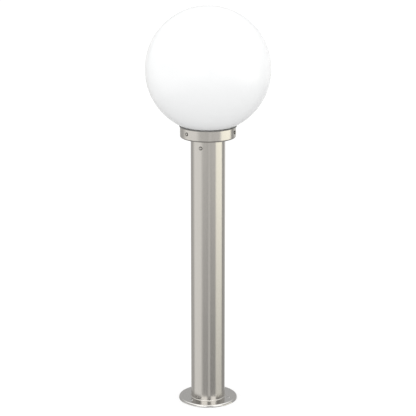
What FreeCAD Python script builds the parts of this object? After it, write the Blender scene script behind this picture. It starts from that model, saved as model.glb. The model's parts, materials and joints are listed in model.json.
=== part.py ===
"""A globe-topped bollard light: a steel post on a pressed base plate, carrying a gallery cup with a
screw-in lamp and an opal globe. Millimetres, +Z up, origin at the centre of the base on the ground.

Azimuths are degrees seen from above, from the front (-Y) towards the right (+X)."""

import FreeCAD
import Part

import math
import os

import Sketcher
from FreeCAD import Placement, Rotation, Vector

# ---------------------------------------------------------------- driving dimensions

SIZES = {
    # overall
    "total_height": 800.0,
    # opal globe
    "globe_od": 245.0,
    "globe_wall": 2.5,
    "neck_clearance": 5.0,
    "neck_gap": 4.0,
    # gallery cup that carries the globe
    "cup_od": 110.0,
    "cup_sheet": 1.0,
    "cup_height": 21.5,
    "cup_corner": 3.0,
    "cup_screw_inset": 6.2,
    "cup_screw_azimuth": 41.0,
    "cup_screw_length": 5.0,
    # rubber seal on the cup's rim
    "seal_bead": 2.6,
    "seal_overhang": 1.6,
    "seal_lip": 1.5,
    "seal_depth": 3.6,
    "soft_gap": 0.3,
    # dome-headed screws
    "screw_thread": 4.0,
    "screw_head": 7.4,
    "screw_head_height": 2.3,
    "screw_edge": 0.5,
    "screw_socket": 2.5,
    "thread_gap": 0.05,
    "hole_clearance": 0.25,
    "globe_screw_drop": 8.8,
    "globe_screw_azimuth": 71.0,
    "globe_screw_seat": 0.4,
    "nut_width": 7.0,
    "nut_height": 2.4,
    # post
    "tube_od": 68.0,
    "tube_wall": 1.2,
    "post_screw_drop": 16.5,
    "post_screw_azimuth": 335.0,
    "post_screw_length": 8.0,
    "sleeve_length": 34.0,
    "sleeve_wall": 2.5,
    "sleeve_gap": 0.1,
    # base
    "base_height": 4.5,
    "base_sheet": 2.0,
    "base_rim_radius": 3.5,
    "anchor_offset": 10.0,
    "anchor_margin": 15.0,
    "anchor_hole": 7.0,
    "anchor_azimuth": 71.0,
    "weld_leg": 2.0,
    "inlet_hole": 22.0,
    "cable_bore": 9.0,
    "grommet_lip": 1.5,
    # threaded nipple through cup and sleeve
    "nipple_od": 10.0,
    "nipple_bore": 7.0,
    "nipple_nut_width": 14.0,
    "nipple_nut_height": 3.0,
    "nipple_end": 2.0,
    "washer_sheet": 0.8,
    "washer_od": 17.0,
    # lamp holder
    "holder_room": 2.95,
    "holder_wall": 2.2,
    "holder_floor": 4.0,
    "holder_base_height": 24.0,
    "holder_insert_height": 8.0,
    "holder_spigot": 3.0,
    "holder_skirt_height": 26.0,
    "holder_lip": 2.0,
    "contact_sheet": 0.5,
    "contact_width": 5.0,
    # lamp
    "cap_od": 26.2,
    "cap_gap": 0.35,
    "cap_sheet": 0.4,
    "cap_length": 24.0,
    "cap_cone": 3.3,
    "cap_tip": 9.0,
    "cap_tip_height": 1.2,
    "lamp_od": 60.0,
    "lamp_length": 108.0,
    "lamp_shoulder": 1.9,
    "lamp_rim_drop": 16.0,
    "lamp_wall": 1.6,
    "lamp_ledge": 4.0,
    "lamp_spigot": 8.0,
    "board_sheet": 1.6,
    "chip_size": 3.0,
    "chip_height": 0.7,
    "chip_circle": 28.0,
    "driver_width": 16.0,
    # wiring
    "lead_od": 2.2,
    "lead_clearance": 0.2,
    "lead_hole_spread": 8.0,
    "pole_pitch": 10.0,
    "block_end": 7.0,
    "block_depth": 14.0,
    "block_height": 22.0,
    "block_drop": 42.0,
    "clamp_od": 5.8,
    "clamp_bore": 3.8,
    "clamp_length": 16.0,
    "terminal_thread": 3.0,
    "terminal_head": 4.6,
    "terminal_head_height": 1.8,
    "terminal_spacing": 9.0,
    "bracket_sheet": 1.5,
    "bracket_width": 18.0,
    "bracket_leg": 10.0,
    "lug_sheet": 0.8,
    "lug_od": 8.5,
    "lug_barrel": 4.0,
    "lug_barrel_length": 8.0,
    "lug_reach": 6.5,
    "earth_inset": 9.2,
    "earth_azimuth": 71.0,
}

doc = FreeCAD.newDocument("bollard_light")
sheet = doc.addObject("Spreadsheet::Sheet", "dims")
for row, (alias, amount) in enumerate(SIZES.items(), start=1):
    sheet.set(f"A{row}", alias)
    sheet.set(f"B{row}", str(amount))
    sheet.setAlias(f"B{row}", alias)
doc.recompute()


class Size:
    """A dimension held both as a number and as the spreadsheet expression that gives it."""

    def __init__(self, number, text):
        self.number = float(number)
        self.text = text

    def __add__(self, other):
        other = sized(other)
        return Size(self.number + other.number, f"({self.text} + {other.text})")

    def __radd__(self, other):
        return sized(other) + self

    def __sub__(self, other):
        other = sized(other)
        return Size(self.number - other.number, f"({self.text} - {other.text})")

    def __rsub__(self, other):
        return sized(other) - self

    def __mul__(self, other):
        other = sized(other)
        return Size(self.number * other.number, f"({self.text} * {other.text})")

    def __rmul__(self, other):
        return sized(other) * self

    def __truediv__(self, other):
        other = sized(other)
        return Size(self.number / other.number, f"({self.text} / {other.text})")

    def __neg__(self):
        return 0 - self


def sized(value):
    """A plain number as a Size; a Size as it is."""
    if isinstance(value, Size):
        return value
    return Size(value, f"{float(value):.6f}")


def root(size):
    return Size(math.sqrt(size.number), f"sqrt({size.text})")


def sine(angle):
    return Size(math.sin(math.radians(angle.number)), f"sin({angle.text} * 1 deg)")


def cosine(angle):
    return Size(math.cos(math.radians(angle.number)), f"cos({angle.text} * 1 deg)")


def dim(alias):
    return Size(float(sheet.get(alias)), f"dims.{alias}")


# ---------------------------------------------------------------- levels and radii used by several pieces

GLOBE_R = dim("globe_od") / 2
GLOBE_CENTRE = dim("total_height") - GLOBE_R
CUP_R = dim("cup_od") / 2
CUP_INNER = CUP_R - dim("cup_sheet")
NECK_R = CUP_INNER - dim("neck_clearance")
MOUTH = GLOBE_CENTRE - root(GLOBE_R * GLOBE_R - NECK_R * NECK_R)

BEAD_R = dim("seal_bead") / 2
BEAD_CENTRE_R = CUP_R + dim("seal_overhang") - BEAD_R
BEAD_REACH = GLOBE_R + BEAD_R + dim("soft_gap")
RIM = GLOBE_CENTRE - root(BEAD_REACH * BEAD_REACH - BEAD_CENTRE_R * BEAD_CENTRE_R) - BEAD_R
CUP_BOTTOM = RIM - dim("cup_height")
CUP_FLOOR = CUP_BOTTOM + dim("cup_sheet")
GLOBE_SCREW_LEVEL = RIM - dim("globe_screw_drop")

THREAD_R = dim("screw_thread") / 2
THREAD_HOLE = dim("screw_thread") + 2 * dim("thread_gap")
CLEAR_HOLE = dim("screw_thread") + 2 * dim("hole_clearance")
TUBE_R = dim("tube_od") / 2
TUBE_INNER = TUBE_R - dim("tube_wall")
POST_SCREW_LEVEL = CUP_BOTTOM - dim("post_screw_drop")
SLEEVE_R = TUBE_INNER - dim("sleeve_gap")
SLEEVE_INNER = SLEEVE_R - dim("sleeve_wall")
WEB_BOTTOM = CUP_BOTTOM - dim("sleeve_wall")
CUP_SCREW_R = SLEEVE_INNER - dim("cup_screw_inset")
EARTH_R = SLEEVE_INNER - dim("earth_inset")
ANCHOR_R = TUBE_R + dim("anchor_offset")
BASE_R = ANCHOR_R + dim("anchor_margin")
BASE_TOP = dim("base_height")

FOOT_BOTTOM = WEB_BOTTOM - dim("bracket_sheet")
WASHER_BOTTOM = FOOT_BOTTOM - dim("washer_sheet")
LOWER_NUT_BOTTOM = WASHER_BOTTOM - dim("nipple_nut_height")
NIPPLE_BOTTOM = LOWER_NUT_BOTTOM - dim("nipple_end")
NIPPLE_HOLE = dim("nipple_od") / 2 + dim("thread_gap")

HOLDER_BOTTOM = CUP_FLOOR + dim("nipple_nut_height")
NIPPLE_TOP = HOLDER_BOTTOM + dim("holder_floor") + dim("nipple_end")
INSERT_BOTTOM = HOLDER_BOTTOM + dim("holder_base_height")
INSERT_TOP = INSERT_BOTTOM + dim("holder_insert_height")
HOLDER_TOP = INSERT_TOP + dim("holder_skirt_height")

CAP_R = dim("cap_od") / 2
SHELL_BORE = CAP_R + dim("cap_gap")
SHELL_R = SHELL_BORE + dim("cap_sheet")
HOLDER_INNER = SHELL_R + dim("holder_room")
HOLDER_R = HOLDER_INNER + dim("holder_wall")
CAP_TOP = HOLDER_TOP + dim("soft_gap")
CAP_END = CAP_TOP - dim("cap_length")
CONE_BOTTOM = CAP_END + dim("cap_tip_height")
CONE_TOP = CONE_BOTTOM + dim("cap_cone")
LAMP_R = dim("lamp_od") / 2
LAMP_TOP = CAP_END + dim("lamp_length")
LAMP_CENTRE = LAMP_TOP - LAMP_R
LAMP_RIM = LAMP_CENTRE - dim("lamp_rim_drop")
SPIGOT_R = CAP_R - dim("cap_sheet") - dim("sleeve_gap")

BLOCK_TOP = CUP_BOTTOM - dim("block_drop")
BLOCK_MIDDLE = BLOCK_TOP - dim("block_height") / 2
BLOCK_FRONT = dim("bracket_leg") - dim("block_depth")
POLES = [-dim("pole_pitch"), sized(0), dim("pole_pitch")]
LUG_BOTTOM = WEB_BOTTOM - dim("lug_sheet")
TERMINAL_HOLE = dim("terminal_thread") + 2 * dim("thread_gap")
CLAMP_HOLE = dim("clamp_od") + 2 * dim("thread_gap")
CLAMP_BOTTOM = BLOCK_MIDDLE - dim("clamp_length") / 2
SCREW_ROWS = [
    BLOCK_MIDDLE - dim("terminal_spacing") / 2,
    BLOCK_MIDDLE + dim("terminal_spacing") / 2,
]

LEAD_HOLE = dim("lead_od") + 2 * dim("thread_gap")
LEAD_SPREAD = dim("nipple_bore") / 2 - dim("lead_od") / 2 - dim("lead_clearance")
LEAD_TAIL = 6.0
ARC_SHARE = 0.45

# ---------------------------------------------------------------- building blocks


class Corner:
    """A corner of an outline, at radius r and height z. bind names the coordinates that are set; the
    other one follows from the arc that ends there."""

    def __init__(self, r, z, bind="rz"):
        self.r = sized(r)
        self.z = sized(z)
        self.bind = bind


class Arc:
    """A round stretch between the corners before and after it, about a centre."""

    def __init__(self, r, z, clockwise=False):
        self.r = sized(r)
        self.z = sized(z)
        self.clockwise = clockwise


def plane_of(body, role):
    return next(f for f in body.Origin.OriginFeatures if f.Role == role)


def bind_point(sketch, geometry, point, r, z, which="rz"):
    """Fixes one point of a sketch at radius r and height z, measured from the sketch's origin."""
    for letter, kind, axis, size in (("r", "DistanceX", -2, r), ("z", "DistanceY", -1, z)):
        if letter not in which:
            continue
        if size.number == 0:
            sketch.addConstraint(Sketcher.Constraint("PointOnObject", geometry, point, axis))
            continue
        index = sketch.addConstraint(Sketcher.Constraint(kind, -1, 1, geometry, point, size.number))
        sketch.setExpression(f"Constraints[{index}]", size.text)


def draw_outline(sketch, outline):
    """Draws a closed outline of Corners, with an Arc between two of them where it is round."""
    corners = [c for c in outline if isinstance(c, Corner)]
    arcs = {}
    for item, follower in zip(outline, outline[1:] + outline[:1]):
        if isinstance(follower, Arc):
            arcs[id(item)] = follower
    ends = []
    for here, there in zip(corners, corners[1:] + corners[:1]):
        start = Vector(here.r.number, here.z.number, 0)
        finish = Vector(there.r.number, there.z.number, 0)
        arc = arcs.get(id(here))
        if arc is None:
            geometry = sketch.addGeometry(Part.LineSegment(start, finish), False)
            ends.append((geometry, 1, 2))
            continue
        centre = Vector(arc.r.number, arc.z.number, 0)
        first, last = (finish, start) if arc.clockwise else (start, finish)
        circle = Part.Circle(centre, Vector(0, 0, 1), (start - centre).Length)
        angles = [math.atan2(p.y - centre.y, p.x - centre.x) for p in (first, last)]
        geometry = sketch.addGeometry(Part.ArcOfCircle(circle, *angles), False)
        ends.append((geometry, 2, 1) if arc.clockwise else (geometry, 1, 2))
        bind_point(sketch, geometry, 3, arc.r, arc.z)
    for (geometry, _, finish), (following, start, _) in zip(ends, ends[1:] + ends[:1]):
        sketch.addConstraint(Sketcher.Constraint("Coincident", geometry, finish, following, start))
    for corner, (geometry, start, _) in zip(corners, ends):
        bind_point(sketch, geometry, start, corner.r, corner.z, corner.bind)


def new_sketch(body, role, level=None):
    sketch = body.newObject("Sketcher::SketchObject", f"{body.Name}_sketch")
    sketch.AttachmentSupport = (plane_of(body, role), [""])
    sketch.MapMode = "FlatFace"
    if level is not None:
        sketch.AttachmentOffset = Placement(Vector(0, 0, level.number), Rotation())
        sketch.setExpression("AttachmentOffset.Base.z", level.text)
    return sketch


def turned(label, outline):
    """A body turned about Z from an outline in the XZ plane."""
    body = doc.addObject("PartDesign::Body", label)
    body.Label = label
    sketch = new_sketch(body, "XZ_Plane")
    draw_outline(sketch, outline)
    doc.recompute()
    turn = body.newObject("PartDesign::Revolution", f"{label}_turn")
    turn.Profile = sketch
    turn.ReferenceAxis = (sketch, ["V_Axis"])
    turn.Angle = 360.0
    body.Tip = turn
    return body


def circle_sketch(body, role, x, y, diameter, level=None):
    sketch = new_sketch(body, role, level)
    centre = Vector(x.number, y.number, 0)
    geometry = sketch.addGeometry(
        Part.Circle(centre, Vector(0, 0, 1), diameter.number / 2), False
    )
    bind_point(sketch, geometry, 3, x, y)
    index = sketch.addConstraint(Sketcher.Constraint("Diameter", geometry, diameter.number))
    sketch.setExpression(f"Constraints[{index}]", diameter.text)
    return sketch


def remove(body, sketch, depth, reverse=False):
    """Cuts a sketch out of a body, against its normal or along it, and stops if nothing came away."""
    doc.recompute()
    before = body.Shape.Volume
    pocket = body.newObject("PartDesign::Pocket", f"{sketch.Name}_cut")
    pocket.Profile = sketch
    pocket.setExpression("Length", depth.text)
    pocket.Reversed = reverse
    body.Tip = pocket
    doc.recompute()
    if before - body.Shape.Volume < LEAST_CUT:
        raise RuntimeError(f"{sketch.Name} cuts nothing out of {body.Label}")
    return pocket


def repeat(body, feature, count):
    """Repeats a feature evenly about Z."""
    pattern = body.newObject("PartDesign::PolarPattern", f"{feature.Name}_ring")
    pattern.Originals = [feature]
    pattern.Axis = (plane_of(body, "Z_Axis"), [""])
    pattern.Angle = 360.0
    pattern.Occurrences = count
    body.Tip = pattern
    doc.recompute()


def drill_front(body, level, diameter, reach, count):
    """Drills from the axis out through the front wall, and repeats the hole about Z."""
    hole = circle_sketch(body, "XZ_Plane", sized(0), level, diameter)
    repeat(body, remove(body, hole, reach, reverse=True), count)


def drill_down(body, radius, azimuth, top, diameter, depth, count=1):
    """Drills down from a level at a radius and azimuth, and repeats the hole about Z."""
    x = radius * sine(azimuth)
    y = -radius * cosine(azimuth)
    hole = circle_sketch(body, "XY_Plane", x, y, diameter, top)
    feature = remove(body, hole, depth)
    if count > 1:
        repeat(body, feature, count)


def turn_to(piece, azimuth):
    """Turns a finished piece about Z, so that its front faces an azimuth."""
    piece.Placement = Placement(Vector(), Rotation(Vector(0, 0, 1), azimuth.number))
    return piece


def put(piece, x, y, z, rotation=None):
    """Moves a piece to a point whose coordinates stay tied to the sheet."""
    point = Vector(sized(x).number, sized(y).number, sized(z).number)
    piece.Placement = Placement(point, rotation or Rotation())
    for letter, size in zip("xyz", (x, y, z)):
        piece.setExpression(f"Placement.Base.{letter}", sized(size).text)
    return piece


def put_facing(piece, radius, azimuth, z):
    """Puts a piece that was turned about Z so that its axis points outwards at an azimuth."""
    rotation = Rotation(Vector(0, 0, 1), azimuth.number) * Rotation(Vector(1, 0, 0), 90)
    return put(piece, radius * sine(azimuth), -radius * cosine(azimuth), z, rotation)


def put_upright(piece, radius, azimuth, z):
    return put(piece, radius * sine(azimuth), -radius * cosine(azimuth), z)


def box(label, length, width, height, x, y, z):
    """A block whose lowest corner is at x, y, z."""
    piece = doc.addObject("Part::Box", label)
    for name, size in (("Length", length), ("Width", width), ("Height", height)):
        piece.setExpression(name, sized(size).text)
    return put(piece, x, y, z)


def rod(label, diameter, height, x, y, z, rotation=None):
    piece = doc.addObject("Part::Cylinder", label)
    piece.setExpression("Radius", (sized(diameter) / 2).text)
    piece.setExpression("Height", sized(height).text)
    return put(piece, x, y, z, rotation)


def cut(label, base, tools):
    """A piece with every tool taken away from it."""
    piece = doc.addObject("Part::Cut", label)
    piece.Base = base
    piece.Tool = fuse(f"{label}_tools", tools)
    piece.Label = label
    return piece


def fuse(label, pieces):
    whole = doc.addObject("Part::MultiFuse", label)
    whole.Shapes = pieces
    whole.Label = label
    return whole


def group(label, pieces):
    """Identical pieces kept as separate solids of one node."""
    together = doc.addObject("Part::Compound", label)
    together.Links = pieces
    together.Label = label
    return together


FORWARD = Rotation(Vector(1, 0, 0), 90)
LEAST_CUT = 0.001

# ---------------------------------------------------------------- fasteners


def dome_screw(label, length):
    """A dome-headed screw, tip at the origin and head up, with a hexagon socket."""
    head_r = dim("screw_head") / 2
    dome = dim("screw_head_height") - dim("screw_edge")
    dome_r = (head_r * head_r + dome * dome) / (2 * dome)
    shoulder = length + dim("screw_edge")
    top = length + dim("screw_head_height")
    tip = dim("screw_thread") / 10
    body = turned(
        label,
        [
            Corner(0, 0),
            Corner(THREAD_R - tip, 0),
            Corner(THREAD_R, tip),
            Corner(THREAD_R, length),
            Corner(head_r, length),
            Corner(head_r, shoulder),
            Arc(0, top - dome_r),
            Corner(0, top, bind="r"),
        ],
    )
    socket = new_sketch(body, "XY_Plane", top)
    corner_r = dim("screw_socket") / math.sqrt(3)
    hexagon(socket, corner_r)
    remove(body, socket, dim("screw_head_height") * 0.6)
    return body


def hexagon(sketch, corner_r):
    """Draws a regular hexagon about the sketch's origin, bound by its corner radius."""
    points = [
        Vector(
            corner_r.number * math.cos(math.radians(60 * i)),
            corner_r.number * math.sin(math.radians(60 * i)),
            0,
        )
        for i in range(6)
    ]
    sides = [
        sketch.addGeometry(Part.LineSegment(points[i], points[(i + 1) % 6]), False)
        for i in range(6)
    ]
    ring = sketch.addGeometry(
        Part.Circle(Vector(), Vector(0, 0, 1), corner_r.number), True
    )
    sketch.addConstraint(Sketcher.Constraint("Coincident", ring, 3, -1, 1))
    for here, there in zip(sides, sides[1:] + sides[:1]):
        sketch.addConstraint(Sketcher.Constraint("Coincident", here, 2, there, 1))
        sketch.addConstraint(Sketcher.Constraint("PointOnObject", here, 1, ring))
    for side in sides[1:]:
        sketch.addConstraint(Sketcher.Constraint("Equal", sides[0], side))
    sketch.addConstraint(Sketcher.Constraint("PointOnObject", sides[0], 1, -1))
    index = sketch.addConstraint(Sketcher.Constraint("Radius", ring, corner_r.number))
    sketch.setExpression(f"Constraints[{index}]", corner_r.text)


def hex_nut(label, width, height, bore):
    """A hexagon nut standing on the origin, its bore along Z."""
    body = doc.addObject("PartDesign::Body", label)
    body.Label = label
    flats = new_sketch(body, "XY_Plane")
    hexagon(flats, width / math.sqrt(3))
    pad = body.newObject("PartDesign::Pad", f"{label}_pad")
    pad.Profile = flats
    pad.setExpression("Length", height.text)
    body.Tip = pad
    hole = circle_sketch(body, "XY_Plane", sized(0), sized(0), bore, height)
    remove(body, hole, height)
    return body


def pan_screw(label, length, thread, head, head_height):
    """A cylinder-headed screw, tip at the origin and head up, with a cross slot."""
    top = length + head_height
    body = turned(
        label,
        [
            Corner(0, 0),
            Corner(thread / 2, 0),
            Corner(thread / 2, length),
            Corner(head / 2, length),
            Corner(head / 2, top - head_height / 4),
            Corner(head / 2 - head_height / 4, top),
            Corner(0, top),
        ],
    )
    slot = new_sketch(body, "XY_Plane", top)
    rectangle(slot, head * 0.7, head * 0.14)
    one = remove(body, slot, head_height * 0.5)
    repeat(body, one, 4)
    return body


def rectangle(sketch, length, width):
    """Draws a rectangle centred on the sketch's origin."""
    x, y = length.number / 2, width.number / 2
    points = [Vector(-x, -y, 0), Vector(x, -y, 0), Vector(x, y, 0), Vector(-x, y, 0)]
    sides = [
        sketch.addGeometry(Part.LineSegment(points[i], points[(i + 1) % 4]), False)
        for i in range(4)
    ]
    for here, there in zip(sides, sides[1:] + sides[:1]):
        sketch.addConstraint(Sketcher.Constraint("Coincident", here, 2, there, 1))
    for side, kind in zip(sides, ("Horizontal", "Vertical", "Horizontal", "Vertical")):
        sketch.addConstraint(Sketcher.Constraint(kind, side))
    sketch.addConstraint(Sketcher.Constraint("Symmetric", sides[0], 1, sides[1], 2, -1, 1))
    for kind, side, size in (("DistanceX", sides[0], length), ("DistanceY", sides[1], width)):
        index = sketch.addConstraint(Sketcher.Constraint(kind, side, 1, side, 2, size.number))
        sketch.setExpression(f"Constraints[{index}]", size.text)


# ---------------------------------------------------------------- base and post


def ring(inner, outer, low, high):
    """The outline of a plain ring."""
    return [Corner(inner, low), Corner(outer, low), Corner(outer, high), Corner(inner, high)]


def base_plate():
    """Pressed disc with a turned-down rim, anchor holes and a hole for the supply cable."""
    thickness = dim("base_sheet")
    bend = dim("base_rim_radius")
    inlet = dim("inlet_hole") / 2
    body = turned(
        "base_plate",
        [
            Corner(inlet, BASE_TOP - thickness),
            Corner(BASE_R - bend, BASE_TOP - thickness),
            Arc(BASE_R - bend, BASE_TOP - bend, clockwise=True),
            Corner(BASE_R - thickness, BASE_TOP - bend, bind="z"),
            Corner(BASE_R - thickness, 0),
            Corner(BASE_R, 0),
            Corner(BASE_R, BASE_TOP - bend),
            Arc(BASE_R - bend, BASE_TOP - bend),
            Corner(BASE_R - bend, BASE_TOP, bind="r"),
            Corner(inlet, BASE_TOP),
        ],
    )
    drill_down(body, ANCHOR_R, sized(0), BASE_TOP, dim("anchor_hole"), BASE_TOP, 3)
    return turn_to(body, dim("anchor_azimuth"))


def cable_grommet():
    """Rubber bush gripping the edge of the plate's central hole."""
    bore = dim("cable_bore") / 2
    groove = dim("inlet_hole") / 2
    lip = groove + dim("grommet_lip")
    plate_low = BASE_TOP - dim("base_sheet")
    return turned(
        "cable_grommet",
        [
            Corner(bore, plate_low - dim("grommet_lip")),
            Corner(lip, plate_low - dim("grommet_lip")),
            Corner(lip, plate_low),
            Corner(groove, plate_low),
            Corner(groove, BASE_TOP),
            Corner(lip, BASE_TOP),
            Corner(lip, BASE_TOP + dim("grommet_lip")),
            Corner(bore, BASE_TOP + dim("grommet_lip")),
        ],
    )


def foot_weld():
    """Dressed fillet weld round the foot of the tube, hollow in section."""
    leg = dim("weld_leg")
    return turned(
        "foot_weld",
        [
            Corner(TUBE_R, BASE_TOP),
            Corner(TUBE_R + leg, BASE_TOP),
            Arc(TUBE_R + leg, BASE_TOP + leg, clockwise=True),
            Corner(TUBE_R, BASE_TOP + leg, bind="z"),
        ],
    )


def post_tube():
    body = turned("post_tube", ring(TUBE_INNER, TUBE_R, BASE_TOP, CUP_BOTTOM))
    drill_front(body, POST_SCREW_LEVEL, CLEAR_HOLE, TUBE_R * 2, 2)
    return turn_to(body, dim("post_screw_azimuth"))


def head_sleeve():
    """Turned adapter inside the post's mouth, with the web that the cup is screwed to."""
    low = CUP_BOTTOM - dim("sleeve_length")
    facing = dim("post_screw_azimuth")
    body = turned(
        "head_sleeve",
        [
            Corner(NIPPLE_HOLE, WEB_BOTTOM),
            Corner(SLEEVE_INNER, WEB_BOTTOM),
            Corner(SLEEVE_INNER, low),
            Corner(SLEEVE_R, low),
            Corner(SLEEVE_R, CUP_BOTTOM),
            Corner(NIPPLE_HOLE, CUP_BOTTOM),
        ],
    )
    drill_front(body, POST_SCREW_LEVEL, THREAD_HOLE, TUBE_R * 2, 2)
    web = dim("sleeve_wall")
    bearing = dim("cup_screw_azimuth") - facing
    drill_down(body, CUP_SCREW_R, bearing, CUP_BOTTOM, THREAD_HOLE, web, 3)
    drill_down(body, EARTH_R, dim("earth_azimuth") - facing, CUP_BOTTOM, THREAD_HOLE, web)
    return turn_to(body, facing)


def post_screws():
    """Two dome-headed screws that hold the sleeve in the post."""
    length = dim("post_screw_length")
    azimuth = dim("post_screw_azimuth")
    screws = []
    for number, half_turn in enumerate((0, 180), start=1):
        screw = dome_screw(f"post_screw_{number}", length)
        screws.append(put_facing(screw, TUBE_R - length, azimuth + half_turn, POST_SCREW_LEVEL))
    return group("post_screws", screws)


# ---------------------------------------------------------------- cup, seal and globe


def gallery_cup():
    """Spun cup that holds the globe's neck, open upwards."""
    corner = dim("cup_corner")
    facing = dim("globe_screw_azimuth")
    body = turned(
        "gallery_cup",
        [
            Corner(NIPPLE_HOLE, CUP_BOTTOM),
            Corner(CUP_R - corner, CUP_BOTTOM),
            Arc(CUP_R - corner, CUP_BOTTOM + corner),
            Corner(CUP_R, CUP_BOTTOM + corner, bind="z"),
            Corner(CUP_R, RIM),
            Corner(CUP_INNER, RIM),
            Corner(CUP_INNER, CUP_BOTTOM + corner),
            Arc(CUP_R - corner, CUP_BOTTOM + corner, clockwise=True),
            Corner(CUP_R - corner, CUP_FLOOR, bind="r"),
            Corner(NIPPLE_HOLE, CUP_FLOOR),
        ],
    )
    drill_front(body, GLOBE_SCREW_LEVEL, CLEAR_HOLE, CUP_R * 2, 3)
    bearing = dim("cup_screw_azimuth") - facing
    drill_down(body, CUP_SCREW_R, bearing, CUP_FLOOR, CLEAR_HOLE, dim("cup_sheet"), 3)
    return turn_to(body, facing)


def cup_screws():
    """Three pan-headed screws through the cup's floor into the sleeve's web."""
    length = dim("cup_screw_length")
    screws = []
    for number in range(3):
        screw = pan_screw(
            f"cup_screw_{number + 1}",
            length,
            dim("screw_thread"),
            dim("screw_head"),
            dim("screw_head_height"),
        )
        azimuth = dim("cup_screw_azimuth") + 120 * number
        screws.append(put_upright(screw, CUP_SCREW_R, azimuth, CUP_FLOOR - length))
    return group("cup_screws", screws)


def globe_seal():
    """Rubber ring on the cup's rim: a round bead under the globe and a lip inside the wall."""
    lip = CUP_INNER - dim("seal_lip")
    return turned(
        "globe_seal",
        [
            Corner(lip, RIM - dim("seal_depth")),
            Corner(CUP_INNER, RIM - dim("seal_depth")),
            Corner(CUP_INNER, RIM),
            Corner(BEAD_CENTRE_R, RIM),
            Arc(BEAD_CENTRE_R, RIM + BEAD_R),
            Corner(BEAD_CENTRE_R, RIM + 2 * BEAD_R, bind="r"),
            Corner(lip, RIM + BEAD_R),
        ],
    )


def globe():
    """Blown opal globe, cut off flat at its mouth."""
    wall = dim("globe_wall")
    mouth = NECK_R - wall
    inner_r = GLOBE_R - wall
    inner_mouth = GLOBE_CENTRE - root(inner_r * inner_r - mouth * mouth)
    return turned(
        "globe",
        [
            Corner(mouth, MOUTH),
            Corner(NECK_R, MOUTH),
            Arc(0, GLOBE_CENTRE),
            Corner(0, dim("total_height"), bind="r"),
            Corner(0, dim("total_height") - wall),
            Arc(0, GLOBE_CENTRE, clockwise=True),
            Corner(mouth, inner_mouth, bind="r"),
        ],
    )


def globe_neck():
    """Straight opal collar, bonded to the globe round its mouth."""
    neck_end = CUP_FLOOR + dim("neck_gap")
    return turned("globe_neck", ring(NECK_R - dim("globe_wall"), NECK_R, neck_end, MOUTH))


def globe_screws():
    """Three dome-headed screws whose tips press on the globe's neck."""
    tip = NECK_R + dim("soft_gap")
    length = CUP_R + dim("globe_screw_seat") - tip
    for number in range(3):
        screw = dome_screw(f"globe_screw_{number + 1}", length)
        azimuth = dim("globe_screw_azimuth") + 120 * number
        put_facing(screw, tip, azimuth, GLOBE_SCREW_LEVEL)


def globe_screw_nuts():
    """Three nuts welded inside the cup's wall; their corners meet the wall."""
    corner = dim("nut_width") / math.sqrt(3)
    face = root(CUP_INNER * CUP_INNER - corner * corner) - dim("nut_height")
    nuts = []
    for number in range(3):
        nut = hex_nut(f"globe_nut_{number + 1}", dim("nut_width"), dim("nut_height"), THREAD_HOLE)
        azimuth = dim("globe_screw_azimuth") + 120 * number
        nuts.append(put_facing(nut, face, azimuth, GLOBE_SCREW_LEVEL))
    return group("globe_screw_nuts", nuts)


# ---------------------------------------------------------------- nipple and terminal block


def nipple_parts():
    """Threaded nipple that clamps bracket, sleeve and cup, with its two nuts and washer."""
    turned("nipple", ring(dim("nipple_bore") / 2, dim("nipple_od") / 2, NIPPLE_BOTTOM, NIPPLE_TOP))
    nuts = []
    for name, level in (("lower_nut", LOWER_NUT_BOTTOM), ("upper_nut", CUP_FLOOR)):
        nut = hex_nut(name, dim("nipple_nut_width"), dim("nipple_nut_height"), 2 * NIPPLE_HOLE)
        nuts.append(put(nut, 0, 0, level))
    group("nipple_nuts", nuts)
    turned("nipple_washer", ring(NIPPLE_HOLE, dim("washer_od") / 2, WASHER_BOTTOM, FOOT_BOTTOM))


def terminal_bracket():
    """Folded strip: a foot clamped under the web and a leg that carries the terminal block."""
    thickness = dim("bracket_sheet")
    leg = dim("bracket_leg")
    back = leg + thickness
    front = -dim("bracket_width") / 2
    low = BLOCK_TOP - dim("block_height")
    body = doc.addObject("PartDesign::Body", "terminal_bracket")
    body.Label = "terminal_bracket"
    side = new_sketch(body, "YZ_Plane")
    draw_outline(
        side,
        [
            Corner(front, FOOT_BOTTOM),
            Corner(leg - thickness, FOOT_BOTTOM),
            Arc(leg - thickness, FOOT_BOTTOM - thickness, clockwise=True),
            Corner(leg, FOOT_BOTTOM - thickness, bind="z"),
            Corner(leg, low),
            Corner(back, low),
            Corner(back, FOOT_BOTTOM - thickness),
            Arc(leg - thickness, FOOT_BOTTOM - thickness),
            Corner(leg - thickness, WEB_BOTTOM, bind="r"),
            Corner(front, WEB_BOTTOM),
        ],
    )
    pad(body, side, dim("bracket_width"))
    middle = circle_sketch(body, "XY_Plane", sized(0), sized(0), 2 * NIPPLE_HOLE, WEB_BOTTOM)
    remove(body, middle, thickness)
    for side_x in (-dim("pole_pitch") / 2, dim("pole_pitch") / 2):
        hole = circle_sketch(body, "XZ_Plane", side_x, BLOCK_MIDDLE, TERMINAL_HOLE)
        remove(body, hole, back * 2)
    return body


def pad(body, sketch, length):
    """A sketch thickened evenly to both sides."""
    feature = body.newObject("PartDesign::Pad", f"{sketch.Name}_pad")
    feature.Profile = sketch
    feature.setExpression("Length", length.text)
    feature.Midplane = True
    body.Tip = feature
    doc.recompute()


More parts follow.
